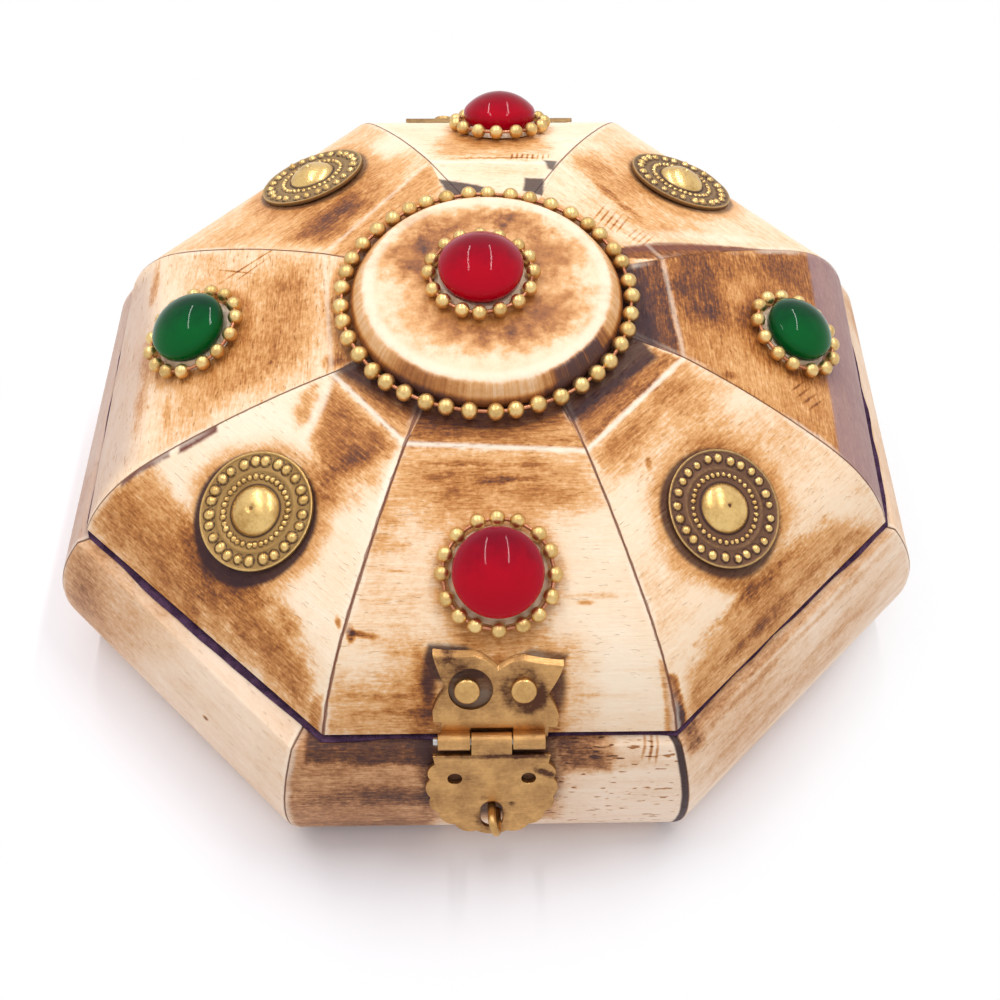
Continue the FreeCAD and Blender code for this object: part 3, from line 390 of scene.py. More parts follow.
# Stains as outlines or ovals (x, y, half length, half width, turn), then strength, soft edge and wander
# The pair for the disc's chain gives where its painted shadow ends, in mm from the disc's centre, and how
# dark it is
lidPlates = {
    "front": dict(tint=0.15, chainShadow=(22.0, 0.7), stains=[
        ([(20.4, -50.2), (22.2, -50.8), (23.6, -56.4), (21.8, -56.4)], 0.30, 0.4, 0.3),
        ([(-12.6, -24.4), (12, -25.4), (13.4, -31.4), (-14.8, -31.4)], 0.19, 2.2, 1.4),
        ([(-13, -24), (12.4, -25), (15.4, -36), (-17.6, -38)], 0.09, 3.4, 1.4),
        (-13, -42, 4, 9, -12, 0.05, 2.6, 1.4),
        ([(1, -33), (14, -33), (23.2, -56), (6, -56)], -0.11, 3.0, 1.0),
        (-5.5, -31.5, 4.6, 2.0, 25, 0.16), (6.5, -31, 5, 1.6, -8, 0.13),
        (-5, -26.4, 3.2, 0.35, 0, 0.26, 0.3, 0.4), (1, -28.7, 3, 0.4, 2, 0.26, 0.3, 0.4),
        (-8, -28.2, 1.6, 0.5, 0, 0.22, 0.4, 0.4), (3.5, -26.8, 2.5, 0.3, 0, 0.16, 0.3, 0.4),
        ([(-13, -24.0), (-11.5, -18), (11.5, -18), (12.3, -25)], 0.26, 0.4, 0.3),
        (-10, -21.5, 3.5, 2.2, 0, 0.20),
        ([(-23, -56.2), (-11, -56.2), (-11, -51.8), (-21.6, -51.2)], 0.17, 0.9, 0.9),
        (-17, -53.2, 5, 0.3, 0, 0.13, 0.3, 0.3), (-15, -54.6, 5, 0.25, 0, 0.13, 0.3, 0.3),
        (-17.8, -47.2, 1.5, 0.3, -8, 0.5, 0.25, 0.2), (-13.2, -40, 1.6, 0.2, -5, 0.2, 0.2, 0.2),
        (-16.5, -36.5, 3.2, 1.2, -20, 0.16, 0.9, 0.9),
        (-14.4, -33.5, 3.6, 1.4, -55, 0.14, 1.0, 1.0), (-19.2, -47.0, 0.5, 0.9, 10, 0.5, 0.3, 0.3),
        (12.5, -43.2, 2.6, 0.25, 0, 0.14, 0.25, 0.3), (11, -44, 0.9, 0.25, 0, 0.3, 0.2, 0.2),
        (16, -51.2, 4, 0.2, 0, 0.1, 0.2, 0.3), (14.5, -53.4, 5, 0.2, 0, 0.1, 0.2, 0.3),
        ([(-11.2, -56.4), (-8.0, -56.4), (-8.4, -49.6), (-10.6, -49.4)], 0.44, 0.9, 0.4),
        (-11.6, -52.6, 3.4, 4.4, 0, 0.16, 1.8, 0.8),
        ([(5, -56.4), (7.8, -56.4), (8.0, -50.0), (6.2, -49.0)], 0.40, 0.8, 0.3),
        (9.0, -53.4, 3.4, 4.6, 0, 0.20, 1.6, 0.6),
        ([(-9.8, -49.6), (-8.8, -47.6), (-3, -48.2), (0, -50), (3, -48.8), (8.6, -49.2), (8, -52),
          (-9, -52)], 0.40, 0.7, 0.3),
        (-0.6, -49.2, 9.4, 2.4, 0, 0.16, 1.4, 0.6)],
        darkFillAndShadow=[([(-9.9, -49.9), (-9.2, -48.3), (-4.4, -48.6), (-1.4, -50.3), (-2, -52),
                  (-9, -52)], 0.9, 0.35, 0.12),
                (-3.8, -53.2, 3.6, 2.6, 0, 0.78, 0.4, 0.1), (-9.2, -51.8, 1.0, 1.9, 0, 0.8, 0.5, 0.2),
                (7.5, -52.6, 1.0, 2.1, 0, 0.8, 0.5, 0.2),
                ([(0.4, -51), (1.4, -49.9), (4, -49), (8.8, -49.6), (7.4, -52)], 0.7, 0.3, 0.1)]),
    "front_left": dict(tint=0.06, chainShadow=(21.9, 0.6), stains=[
        ([(-22.2, -12.6), (-24.8, -21), (-22.5, -27.4), (-13.0, -24)], 0.50, 0.9, 0.7),
        ([(-19.5, -22.5), (-21, -28.5), (-15.6, -29.6), (-13.6, -25.2)], 0.24, 1.2, 0.9),
        ([(-22.4, -12), (-12.6, -23.4), (-9, -19), (-18, -9)], 0.34, 0.4, 0.4),
        (-23, -26.5, 3.2, 1.6, -60, 0.12), (-21, -30.2, 2.8, 1.5, -20, 0.18),
        ([(-25.3, -12.4), (-27.6, -16.2), (-26.8, -19), (-25.4, -18.4), (-24, -13)], 0.30, 0.7, 1.0),
        ([(-57.2, -23), (-47.6, -20.4), (-37.5, -33.4), (-42.4, -41)], 0.36, 0.9, 0.9),
        (-49.0, -27.2, 4.4, 1.8, -52, 0.10), (-45.2, -31.6, 3.8, 2.0, -50, 0.14),
        (-43, -29, 4, 1.4, -50, 0.10),
        ([(-41.2, -39), (-36, -33), (-23.6, -47.6), (-24.2, -56)], 0.25, 1.4, 1.4),
        (-37, -40.2, 4.0, 2.2, -47, 0.18), (-32.2, -43.4, 3.4, 2.4, -45, 0.20),
        (-28.6, -46.8, 3.4, 2.5, -46, 0.22),
        (-34, -37.4, 3.4, 1.2, -45, 0.2), (-27.4, -43.6, 3.2, 1.1, -47, 0.18),
        (-26, -50.4, 2.4, 1.4, -50, 0.20),
        ([(-24.4, -52.5), (-22.9, -52.8), (-23.3, -56.4), (-25.2, -55)], 0.26, 0.4, 0.4),
        (-20.8, -45.6, 0.35, 0.8, 15, 0.4, 0.2, 0.2), (-52, -23, 4, 3, -45, 0.10)],
        pale=[(-23.9, -16.4, 4.6, 0.6, 68, 0.6, 0.5, 0.3), (-14.7, -29.6, 4.6, 0.5, 73, 0.7, 0.4, 0.3)],
        rust=[([(-52, -21.8), (-44.8, -19.7), (-44.8, -17.8), (-52, -19.9)], 1.0, 0.35, 0.4),
              ([(-43.4, -19.5), (-38, -17.7), (-38, -15.7), (-43.4, -17.6)], 1.0, 0.35, 0.4)],
        darkFillAndShadow=[([(-23.2, -9.6), (-21.6, -11.8), (-9.4, -20.6), (-8, -17), (-18, -6)], 0.85, 0.6, 0.3)],
        shadowAndStain=("rosette_front_left", 0.95, 0.95, 0.30, (-0.4, -0.5))),
    "left": dict(tint=0.17, pores=0.14, ridge=0.35, chainShadow=(21.6, 0.5), stains=[
        ([(-38, -13), (-25.2, -10.2), (-25.0, 10), (-35, 12)], 0.16, 4.0, 1.8),
        ([(-46, -16), (-30, -12), (-30, 12), (-42, 17)], 0.08, 4.0, 2.0),
        (-28.5, -2, 3.0, 7, 0, 0.12, 2.0, 2.0), (-31, 7, 4, 3, 0, 0.08), (-36, -9.5, 7, 2, 8, 0.10),
        (-40, 10, 3, 5, 20, 0.08),
        (-50.6, -6, 0.7, 6.5, 0, 0.26, 0.6, 0.5), (-46, -12, 0.5, 2.5, 0, 0.12, 0.4, 0.3),
        (-51.2, 15, 0.7, 4.2, 0, 0.3, 0.5, 0.4),
        (-35.7, 12.1, 4.2, 0.16, 26, 0.42, 0.14, 0.1), (-35.2, 10.9, 2.6, 0.14, 31, 0.36, 0.12, 0.1),
        (-37.5, 11.3, 2.8, 0.14, -27, 0.36, 0.12, 0.1), (-22, -9.6, 1.6, 1.2, 0, 0.4)],
        mauve=[([(-60, -25), (-50.6, -18), (-49.8, 8), (-52, 19), (-60, 25)], 0.45, 1.5, 0.6)]),
    "back_left": dict(tint=0.25, ridge=0.35, chainShadow=(21.6, 0.5), stains=[
        ([(-22, 22.4), (-16.4, 24), (-13.2, 33), (-18, 35.5)], 0.20, 2.0, 1.0),
        (-30, 20, 10, 4.5, 20, 0.08, 3.0, 1.5),
        ([(-29.4, 15.8), (-24.4, 13.4), (-18.6, 22), (-21.6, 25), (-26, 21)], 0.46, 1.6, 0.8),
        (-14.5, 38.5, 5, 4, 30, -0.16, 2.0, 1.0),
        ([(-24, 11), (-9.6, 30.4), (-7.5, 24), (-19, 7)], 0.14, 0.6, 0.8)],
        shadowAndStain=("rosette_back_left", 0.6, 0.7, 0.16, (0.2, -0.35))),
    "back": dict(tint=0.09, ridge=0.6, chainShadow=(21.8, 0.6), stains=[
        ([(-8, 33), (9.5, 32.6), (10.2, 38), (5, 41), (-5, 41), (-8.5, 38)], 0.24, 1.4, 1.8),
        (2.5, 32, 5.5, 0.22, 1, 0.32, 0.25, 0.5), (2, 28.5, 6, 1.8, -10, 0.05)]
        + [(3.2 + 0.8 * k, 32.5, 0.16, 0.8, -8, 0.4, 0.12, 0.2) for k in range(8)],
        darkFillAndShadow=[([(-8.2, 26.2), (-2, 24.4), (0.2, 23.4), (-6, 21.0)], 0.9, 0.3, 0.4),
                ([(5.0, 26.4), (7.9, 26.2), (7.6, 21.6), (4.6, 23.0)], 0.9, 0.3, 0.4),
                ([(8.0, 31.3), (10.2, 31), (9.4, 28.4), (8.6, 28.9)], 0.85, 0.3, 0.3)]),
    "back_right": dict(tint=0.19, ridge=0.25, chainShadow=(21.8, 0.6), stains=[
        ([(17.5, 8.6), (24.4, 9.2), (41, 16.6), (24, 12.5), (17.5, 10.6)], 0.55, 0.3, 0.3),
        (15.4, 32.5, 2.6, 3.2, -30, 0.20, 1.4, 1.5), (17.5, 28.5, 5, 2.4, -55, 0.16, 1.6, 1.5),
        (27, 22, 8, 4, -35, 0.12, 2.5, 2.2), (23, 17.5, 6, 2.5, -12, 0.10, 2.0, 2.0),
        (17.8, 23.8, 4.6, 0.6, -52, 0.28, 0.5, 0.6)]
        + [(15.8 + 0.8 * k, 18.9 - 0.65 * k, 1.7, 0.14, 62, 0.36, 0.12, 0.1) for k in range(5)]
        + [(20.4 + 0.7 * k, 14.6 - 0.5 * k, 1.3, 0.13, 55, 0.32, 0.12, 0.1) for k in range(4)],
        rust=[([(19, 10.0), (46, 16.6), (46, 17.7), (24, 13.2), (19, 11.4)], 0.75, 0.35, 0.3)],
        pale=[(33, 17.2, 10, 0.9, 13, 0.35, 0.6, 0.4)],
        shadowAndStain=("rosette_back_right", 0.5, 0.6, 0.14, (0.2, -0.3))),
    "right": dict(tint=0.54, pores=0.10, ridge=0.35, chainShadow=(22.4, 0.8), stains=[
        ([(25.4, 14.6), (25.8, 2.5), (31, -0.5), (33, 6.5), (31.5, 13.6)], 0.28, 1.8, 1.8),
        (35.4, 12.6, 2.8, 2.2, 20, 0.16, 1.2, 2.0), (31, 0, 3.5, 1.6, 0, 0.14, 1.2, 1.6),
        ([(40.5, 17), (40.5, 11.5), (48.5, 10), (49, 18)], 0.16, 1.2, 1.0),
        (34.4, 5.6, 2, 1.8, 0, -0.20, 0.9, 1.4), (37.4, 9, 1.2, 1.2, 0, -0.14, 0.8, 1.0),
        ([(26, -9), (48.5, -20.6), (48.5, -3), (28, -3)], -0.10, 2.0, 1.5),
        (32.5, -10.7, 0.9, 0.8, 0, 0.26, 0.5, 0.4),
        ([(20.0, 9), (24.2, 9), (25.6, -9), (21.2, -9)], 0.30, 0.4, 0.4)]
        + [(42.6 + 0.9 * k, -9.4 - 0.7 * k, 1.6, 0.14, 48, 0.26, 0.12, 0.1) for k in range(4)],
        mauve=[([(48.4, 21), (47.8, -22), (58, -24), (58, 24)], 0.78, 0.4, 0.15)],
        darkFillAndShadow=[([(17.5, -0.5), (22.2, -1.8), (22.6, -9.4), (19.4, -10.4), (17, -6)], 0.85, 0.6, 0.5)]),
    "front_right": dict(tint=0.17, broad=0.40, ridge=0.75, chainShadow=(23.0, 0.85), stains=[
        (29, -20.5, 4, 3.2, 45, 0.10, 1.8, 1.6), (24, -30.5, 3.6, 2.4, 60, 0.10, 1.6, 1.4),
        (37, -16.8, 4.4, 2.4, 20, 0.10, 1.6, 1.4),
        ([(25.8, -10.2), (31.6, -12.6), (27.4, -17), (21.5, -14.8)], 0.24, 1.8, 0.8),
        ([(25.5, -10), (25, -17.5), (15.2, -28.5), (12.0, -25.0)], 0.22, 2.0, 1.0),
        (16.5, -23, 3.6, 1.8, 47, 0.10, 1.0, 1.2),
        ([(25.4, -9.4), (12, -24.2), (9, -20), (22, -8)], 0.36, 0.4, 0.4),
        (20.1, -25.8, 0.4, 0.8, 0, 0.3, 0.25, 0.2),
        ([(25.2, -54.4), (54, -25.6), (46, -27.2), (27.2, -45.6), (24.6, -51)], 0.24, 0.9, 0.7),
        (36, -37, 12.5, 0.5, 44.5, 0.20, 0.5, 0.6), (41, -36.2, 10, 0.4, 45, 0.15, 0.3, 0.5),
        (33, -44.6, 8, 0.35, 44, 0.11, 0.3, 0.5), (31, -39.2, 3.6, 1.2, -5, 0.18, 0.7, 0.6),
        ([(21.2, -51.6), (22.9, -51.4), (24.8, -55.2), (23.2, -56.6), (22.3, -55.6)], 0.5, 0.4, 0.3),
        (23.4, -54.8, 0.8, 1.0, 0, 0.4, 0.4, 0.2)],
        darkFillAndShadow=[([(22.4, -9.6), (10.2, -20.6), (8.4, -18.4), (19.4, -5.5)], 0.9, 0.5, 0.5)],
        shadowAndStain=("rosette_front_right", 0.75, 0.85, 0.22, (-0.3, -0.3))),
}
chainRing = (0.4, 0.3, 0.16, 0.7, 0.3)  # how far past the chain, then as for a stain
for index, side in enumerate(sideNames):
    plate = {**usualPlate, **lidPlates[side], "turn": 45 * index, "grainShift": 0.0}
    ends = (index, (index + 1) % 8)
    plate["joints"] = [(*seamCorners[k], *breakCorners[k], *jointLooks.get(k, usualJoint)) for k in ends]
    plate["worn"] = [(*breakCorners[ends[0]], *breakCorners[ends[1]], 0.6, plate["ridge"])]
    if "shadowAndStain" in plate:                # painted shadow at the rosette's edge, pushed towards the lower left, and a brown stain round it
        # node, growth, darkness of the painted shadow, strength of the brown stain, and the shadow's shift
        node, grow, strength, brown, (dx, dy) = plate["shadowAndStain"]
        seat, radius, _ = seatOf(node)
        cx, cy = seat.translation.x / mm + dx, seat.translation.y / mm + dy
        turn = math.degrees(math.atan2(cy, cx)) + 90
        wide, tall = radius / mm + grow, (radius / mm + grow) * seat.col[2].z
        # the dark ring is painted shadow; the wider brown ring below is a stain
        plate.setdefault("darkFillAndShadow", []).append((cx, cy, wide, tall, turn, strength, 0.35, 0.2))
        plate["stains"].append((cx, cy, wide + 1.8, tall + 1.7, turn, brown, 1.0, 0.5))
    if side in stoneSpots:              # a brown ring among and just past the beads round a stone
        seat, radius, _ = seatOf("bead_chain_" + side)
        cx, cy = seat.translation.x / mm, seat.translation.y / mm - 0.3
        wide, tall, *look = chainRing
        plate["stains"].append((cx, cy, radius / mm + wide, radius / mm + tall, 0, *look))
    finish = boneFinish("bone_lid_" + side, plate)
    softened("lid_gore_" + side, "bone_gore_" + side, finish, "lid", 0.12)
print("lid plates stained")

# Stains on the base: along the plate from its middle, and height
basePlates = {
    "front": dict(tint=0.06, foot=0.4, pores=0.50, poreFrom=0.62, poreSide=(-8, 8), streak=0.34, stains=[
        ([(-29, 26), (-9, 26), (-9, -1), (-29, -1)], 0.40, 1.0, 0.8),
        ([(-25.4, 27), (-9, 27), (-9, 21.4), (-25.4, 22)], 0.42, 0.5, 0.5),
        (-17, 19.4, 9, 1.3, 0, -0.06, 1.2, 0.6), (-13, 16.0, 8.5, 1.6, 0, 0.34, 0.9, 0.8),
        (-13, 7.4, 8, 2.4, 0, 0.18, 1.6, 0.8),
        ([(12, 26), (25, 26), (25, 2), (12, 2)], -0.07, 1.5, 0.8),
        (19.8, 22.8, 0.9, 0.18, 80, 0.45, 0.15, 0.1),
        (20.6, 22.6, 1.0, 0.16, 84, 0.4, 0.15, 0.1), (18.9, 23.0, 0.8, 0.16, 78, 0.35, 0.15, 0.1),
        ([(-10, 25), (8, 25), (8, 9), (-10, 9)], 0.30, 0.9, 0.6),
        ([(8, 25), (14.5, 25), (14, 20.6), (8, 19.8)], 0.40, 0.8, 1.0),
        (11, 22.4, 5.5, 1.4, -3, 0.24, 0.9, 0.9)],
        darkFillAndShadow=[([(-9.6, 25), (7.4, 25), (7.4, 16), (2, 11), (-4, 11), (-9.6, 16)], 0.75, 1.0, 0.7)]),
    "front_left": dict(tint=0.07, foot=0.35, mottle=0.5, stains=[
        ([(-28, 26), (-2, 26), (-12, 10), (-28, -1)], 0.28, 3.4, 1.2),
        (-21, 16, 4.0, 7, 0, 0.13, 2.5, 1.0), (-21, 21, 3, 3, 0, 0.08),
        (6.4, 16.6, 0.5, 0.3, 10, 0.6, 0.2, 0.1),
        (12, 9, 10, 2, 2, 0.06)]),
    "front_right": dict(tint=0.05, foot=0.25, streak=0.40, stains=[
        (-21.8, 22.6, 1.6, 1.2, 0, 0.4, 0.6, 0.4), (0, 14, 18, 2.2, -2, 0.10), (-10, 8.5, 9, 1.6, 2, 0.10),
        (-11, 18.5, 15, 5.5, 0, 0.20, 3.0, 1.5),
        (12, 18, 9, 1.6, 0, 0.10), (0, 22.4, 18, 0.4, 0, 0.18, 0.3, 0.5),
        ([(-30, 26), (30, 26), (30, 23.3), (-30, 23.3)], 0.24, 0.4, 0.3)],
        pale=[(3, 24.0, 13, 0.16, 0, 0.55, 0.2, 0.35)]),
    "right": dict(tint=0.12, stains=[(-12, 15, 9, 4, 0, 0.16), (10, 8, 9, 3, 0, 0.22),
        (19, 19, 4, 4, 0, 0.26)]),
    "back_right": dict(tint=0.12, stains=[(8, 14, 10, 3, 3, 0.20), (-15, 19, 6, 3, 0, 0.26)]),
    "back": dict(tint=0.08, pores=0.26, stains=[(0, 20, 15, 4, 0, 0.30), (-14, 8, 8, 3, 0, 0.2),
        (16, 12, 6, 5, 0, 0.14)]),
    "back_left": dict(tint=0.16, stains=[(-8, 12, 11, 4, -2, 0.22), (14, 18, 8, 3, 0, 0.18)]),
    "left": dict(tint=0.14, stains=[(16, 15, 7, 6, 0, 0.24), (-10, 7, 11, 2.4, 2, 0.18)],
                 mauve=[([(-30, 27), (30, 27), (30, 9), (-30, 12)], 0.5, 1.5, 1.5)]),
}


def mitreLine(index):                   # plan line of the joint at a corner of the base
    before, here, after = (rimCorners[(index + k) % 8] for k in (-1, 0, 1))
    inward = (before - here).normalized() + (after - here).normalized()
    return (*here, *(here + inward))


for index, side in enumerate(sideNames):
    plate = {**usualPlate, **basePlates[side], "turn": 45 * index, "grainShift": 31.0 * (index + 1)}
    plate["joints"] = [(*mitreLine(k), 0.18, 0.9) for k in (index, index + 1)]
    if side == "front":
        plate["strip"] = (*mitreLine(index + 1), 1.1)
    plate["stains"].append((0, 0.6, 27, 1.3, 0, plate["foot"], 0.7, 0.6))        # darker band along the foot
    finish = boneFinish("bone_base_" + side, plate, wall=True)
    softened("base_bone_" + side, "bone_wall_" + side, finish, "base", 0.3)
print("base plates stained")

# Bone disc on top, turned with a soft edge
discShape = dict(radius=19.0, face=17.3, thickness=3.4, upright=1.0, steps=144, dent=0.10, shoulder=10)
discStains = [
    (-10.2, 6.0, 4.6, 3.2, 40, 0.38, 1.4, 1.0), (-8.6, 1.8, 2.8, 3.6, 10, 0.18, 1.4, 1.2),
    (-3.5, 12.2, 7, 2.0, 6, 0.30, 1.0, 1.0), (5, 11.8, 4, 2, -22, 0.28, 1.0, 1.0),
    (9.4, 5.6, 3.6, 3.2, 0, 0.28, 1.4, 1.4),
    (8.6, -5.4, 5.6, 3.0, 30, 0.32, 1.6, 1.2), (-5.6, -7.6, 6.0, 2.6, -20, 0.24, 1.6, 1.2),
    (0.2, 0.6, 11.4, 11, 0, 0.16, 2.0, 1.0),
    (-6.6, 9.0, 3.0, 1.6, 35, 0.18, 0.8, 0.8), (2.6, -9.6, 6, 2.2, 5, 0.16, 1.4, 1.0),
    (0, 0, 8.2, 8.0, 0, 0.10, 0.7, 0.3),
]
discBurnt = (12.6, -13.0, 9.5, 5.0, -45, 1.0, 2.0, 0.5)     # on the bevel
discBrowned = (-9, -15.4, 10, 4.2, 28, 1.0, 2.0, 0.6)


def discFinish():
    f = Finish("bone_disc", Specular_IOR_Level=0.4)
    f.blur = 1.6
    own = f.shift(f.mmSpot, place=(-discCentre[0], -discCentre[1], 0))
    x, y, _ = f.parts(own)
    flat = f.joined(x, y)
    out = f.length(flat)
    mottle = f.cloud(own, 0.5, 6.0, 0.66)
    broad = f.cloud(own, 0.16, 3.0)
    fine = f.cloud(f.shift(own, turn=25, scale=(1, 0.35, 1)), 3.2, 2.0)
    spokes = f.cloud(f.joined(x / out * 30, y / out * 30, out * 0.05), 1.0, 4.0, 0.7)
    wander = (mottle - 0.5) * 3.2 + (broad - 0.5) * 1.2
    amount = 0.16 + (broad - 0.5) * 0.24
    for row in discStains:
        amount = amount + f.stain(flat, row, wander)
    amount = amount + (mottle - 0.5) * (amount.most(0.05) * 0.9 + 0.08) + (fine - 0.5) * 0.08
    bevel = f.ease(out + (mottle - 0.5) * 0.5, 16.9, 17.5)
    burnt = f.stain(flat, discBurnt, wander)
    browned = f.stain(flat, discBrowned, wander)
    foot = f.ease(out, 18.3, 18.9)
    scorch = 0.12 + (spokes - 0.46) * (0.45 + burnt * 1.4) + burnt * 0.72 + browned * 0.32
    colour = f.ramp(amount + bevel * scorch + foot * 0.45, boneStops)
    lip = f.ease(abs(out - 16.4 + (mottle - 0.5) * 1.4), 1.2, 0.3)
    colour = f.blend(lip * 0.34, colour, wearAndGlintColour)
    f.feed(Base_Color=colour, Roughness=0.32 + mottle * 0.22)
    f.relief(mottle * 0.4 + fine * 0.4 + spokes * bevel, 0.00012)
    return f.material


def spun(rim, steps):                   # a profile of radius and height, in millimetres, turned about +Z
    bm = bmesh.new()
    verts = [bm.verts.new((r * mm, 0, z * mm)) for r, z in rim]
    edges = [bm.edges.new(pair) for pair in zip(verts, verts[1:])]
    bmesh.ops.spin(bm, geom=verts + edges, cent=(0, 0, 0), axis=(0, 0, 1), angle=math.tau, steps=steps,
                   use_merge=True)
    bmesh.ops.remove_doubles(bm, verts=bm.verts, dist=1e-6)
    bmesh.ops.recalc_face_normals(bm, faces=bm.faces)
    return bm


def makeDisc():
    low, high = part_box("lid_disc")
    centre = (low + high) / 2
    radius, face, thick, upright = (discShape[k] for k in ("radius", "face", "thickness", "upright"))
    drop = thick - upright
    rim = [(out, thick) for out in (0.0, 5, 10, 14)] + [(face - 1.6, thick - 0.03)]
    for k in range(discShape["shoulder"]):      # soft shoulder from the face into the bevel
        share = k / (discShape["shoulder"] - 1)
        rim.append((face - 1.0 + 1.9 * share, thick - 0.08 - drop * 0.62 * share ** 2.4))
    rim += [(radius - 0.45, upright + 0.30), (radius - 0.08, upright - 0.15), (radius, upright * 0.4),
            (radius - 0.1, 0.0), (12, 0.0), (0.0, 0.0)]
    bm = spun(rim, discShape["steps"])
    for v in bm.verts:
        if v.co.z > 0.2 * mm:
            out = v.co.to_2d().length / mm
            v.co.z += discShape["dent"] * mm * noise.noise(v.co / mm * 0.12) * min(1, out / 6)
            if 15 < out < 18.6:
                v.co.xy *= 1 + 0.004 * noise.noise(v.co / mm * 0.25)
    bmesh.ops.translate(bm, verts=bm.verts, vec=(centre.x, centre.y, low.z))
    return settle("top_disc", bm, [discFinish()], "lid", ["lid_disc"], sharp=50)


makeDisc()
print("disc turned")

# Brass: satin, browned in the hollows, with painted shade at the feet of the knobs, and smudged with old
# polish
footShadeColour = seen(56, 34, 32)


def brassFinish(name, bright, dull, dark, rough=0.36, dirt=0.5, lines=(1, 1, 1), attribute=None, soot=0.9,
                marks=()):
    f = Finish(name, Metallic=1.0)
    smudge = f.cloud(f.mmSpot, 0.28, 4.0, 0.6)
    speck = f.cloud(f.mmSpot, 1.9, 3.0, 0.65)
    amount = (smudge - 0.5) * 1.6 + (speck - 0.5) * 0.5 + dirt
    x, _, z = f.parts(f.mmSpot)
    for row in marks:                   # dark patches, by x and z
        amount = amount + f.stain(f.joined(x, z), row, (speck - 0.5) * 1.5 + (smudge - 0.5) * 1.5)
    brush = f.cloud(f.shift(f.mmSpot, scale=lines), 2.6, 3.0, 0.6)
    amount = amount + (brush - 0.5) * 0.5
    if attribute:
        proud = f.add("ShaderNodeAttribute", {"attribute_name": attribute}, {}, "Fac")
        hollow = f.ease(proud + (speck - 0.5) * 0.3 + (smudge - 0.5) * 0.4, 0.55, 0.12)
        # painted shade at the feet of the knobs and of the dome
        footShade = f.ease(proud + (speck - 0.5) * 0.3, -0.1, -0.7)
        colour = f.ramp(amount, [(0.1, seen(*bright)), (0.55, seen(*dull)), (1.0, seen(*dull))])
        colour = f.blend(hollow * soot, colour, seen(*dark))
        colour = f.blend(footShade * 0.9, colour, footShadeColour)
        roughness = rough + amount * 0.10 + hollow * 0.25
        f.feed(Metallic=1 - hollow * soot * 0.4)
    else:
        colour = f.ramp(amount, [(0.1, seen(*bright)), (0.6, seen(*dull)), (1.0, seen(*dark))])
        roughness = rough + amount * 0.14
    f.feed(Base_Color=colour, Roughness=roughness)
    f.relief(brush * 0.6 + speck * 0.3, 0.00005)
    return f.material


haspMarks = [(3.05, 30.8, 2.9, 2.7, 0, 0.5, 0.6, 0.3), (-7.4, 34.2, 1.4, 0.35, 10, 0.4, 0.3, 0.2),
             (5.8, 21.4, 1.4, 0.6, -25, 0.7, 0.3, 0.3), (-1.2, 13.4, 2.0, 2.4, 0, 0.5, 0.7, 0.3),
             (-2.2, 17.2, 0.5, 0.4, 0, 0.5, 0.2, 0.2), (1.6, 16.2, 0.5, 0.4, 0, 0.5, 0.2, 0.2),
             (-5.0, 31.5, 4.2, 3.4, 0, 0.25, 1.0, 0.6), (-1.15, 24.2, 10, 0.35, 0, 0.5, 0.2, 0.1)]
brushed = (0.25, 1.6, 1.6)              # brush marks run along x
beadBrass = brassFinish("brass_beads", (230, 198, 136), (190, 152, 92), (110, 80, 44), rough=0.34, dirt=0.28)
linkCopper = brassFinish("copper_links", (206, 146, 112), (172, 112, 82), (104, 66, 46), rough=0.40, dirt=0.4)
haspBrass = brassFinish("brass_hasp", (204, 158, 102), (166, 124, 80), (88, 58, 44), rough=0.34, dirt=0.36,
                        lines=brushed, marks=haspMarks)
hingeBrass = brassFinish("brass_hinge", (176, 144, 100), (142, 112, 76), (92, 68, 48), rough=0.42, dirt=0.42,
                         lines=brushed)
rivetBrass = brassFinish("brass_rivets", (210, 168, 108), (178, 136, 84), (122, 86, 52), rough=0.32,
                         dirt=0.25)
pinSteel = brassFinish("steel_pins", (200, 198, 196), (160, 156, 152), (96, 88, 80), rough=0.25, dirt=0.3)
for node, name, brass, body in (("hasp_lid_leaf", "brass_hasp_upper", haspBrass, "lid"),
                                ("hasp_drop_leaf", "brass_hasp_lower", haspBrass, "hasp_leaf"),
                                ("hinge_lid_leaf", "brass_hinge_upper", hingeBrass, "lid"),
                                ("hinge_base_leaf", "brass_hinge_lower", hingeBrass, "base")):
    softened(node, name, brass, body, 0.11)
for node in ("hasp_rivets", "hinge_lid_nails", "hinge_base_nails", "staple"):
    repaint(node, rivetBrass)
for node in ("hasp_pin", "hinge_pin"):
    repaint(node, pinSteel)
print("brass fitted")

# Rosettes: a sheet struck over a die, so the bosses are pushed up out of it
rosetteShape = dict(
    sectors=224, step=0.13, sheet=0.5, dome=3.5, domeRise=1.75, pit=0.25, pitDepth=0.35, skirt=0.4,
    beadRing=4.7, beads=34, bead=0.34, beadRise=0.46, band=5.6, bandHalf=0.40, bandRise=0.10,
    bossRing=6.86, bosses=25, boss=0.60, bossRise=0.66, knobReach=1.3, rim=0.42, rimRise=0.12)
rosetteTones = dict(                    # colour of the hollows, how sooty, and how plump the knobs are
    front_right=((98, 64, 50), 0.95, 1.0), back_right=((112, 84, 60), 0.90, 1.0),
    back_left=((120, 94, 66), 0.80, 1.0), front_left=((136, 102, 56), 0.85, 1.12))


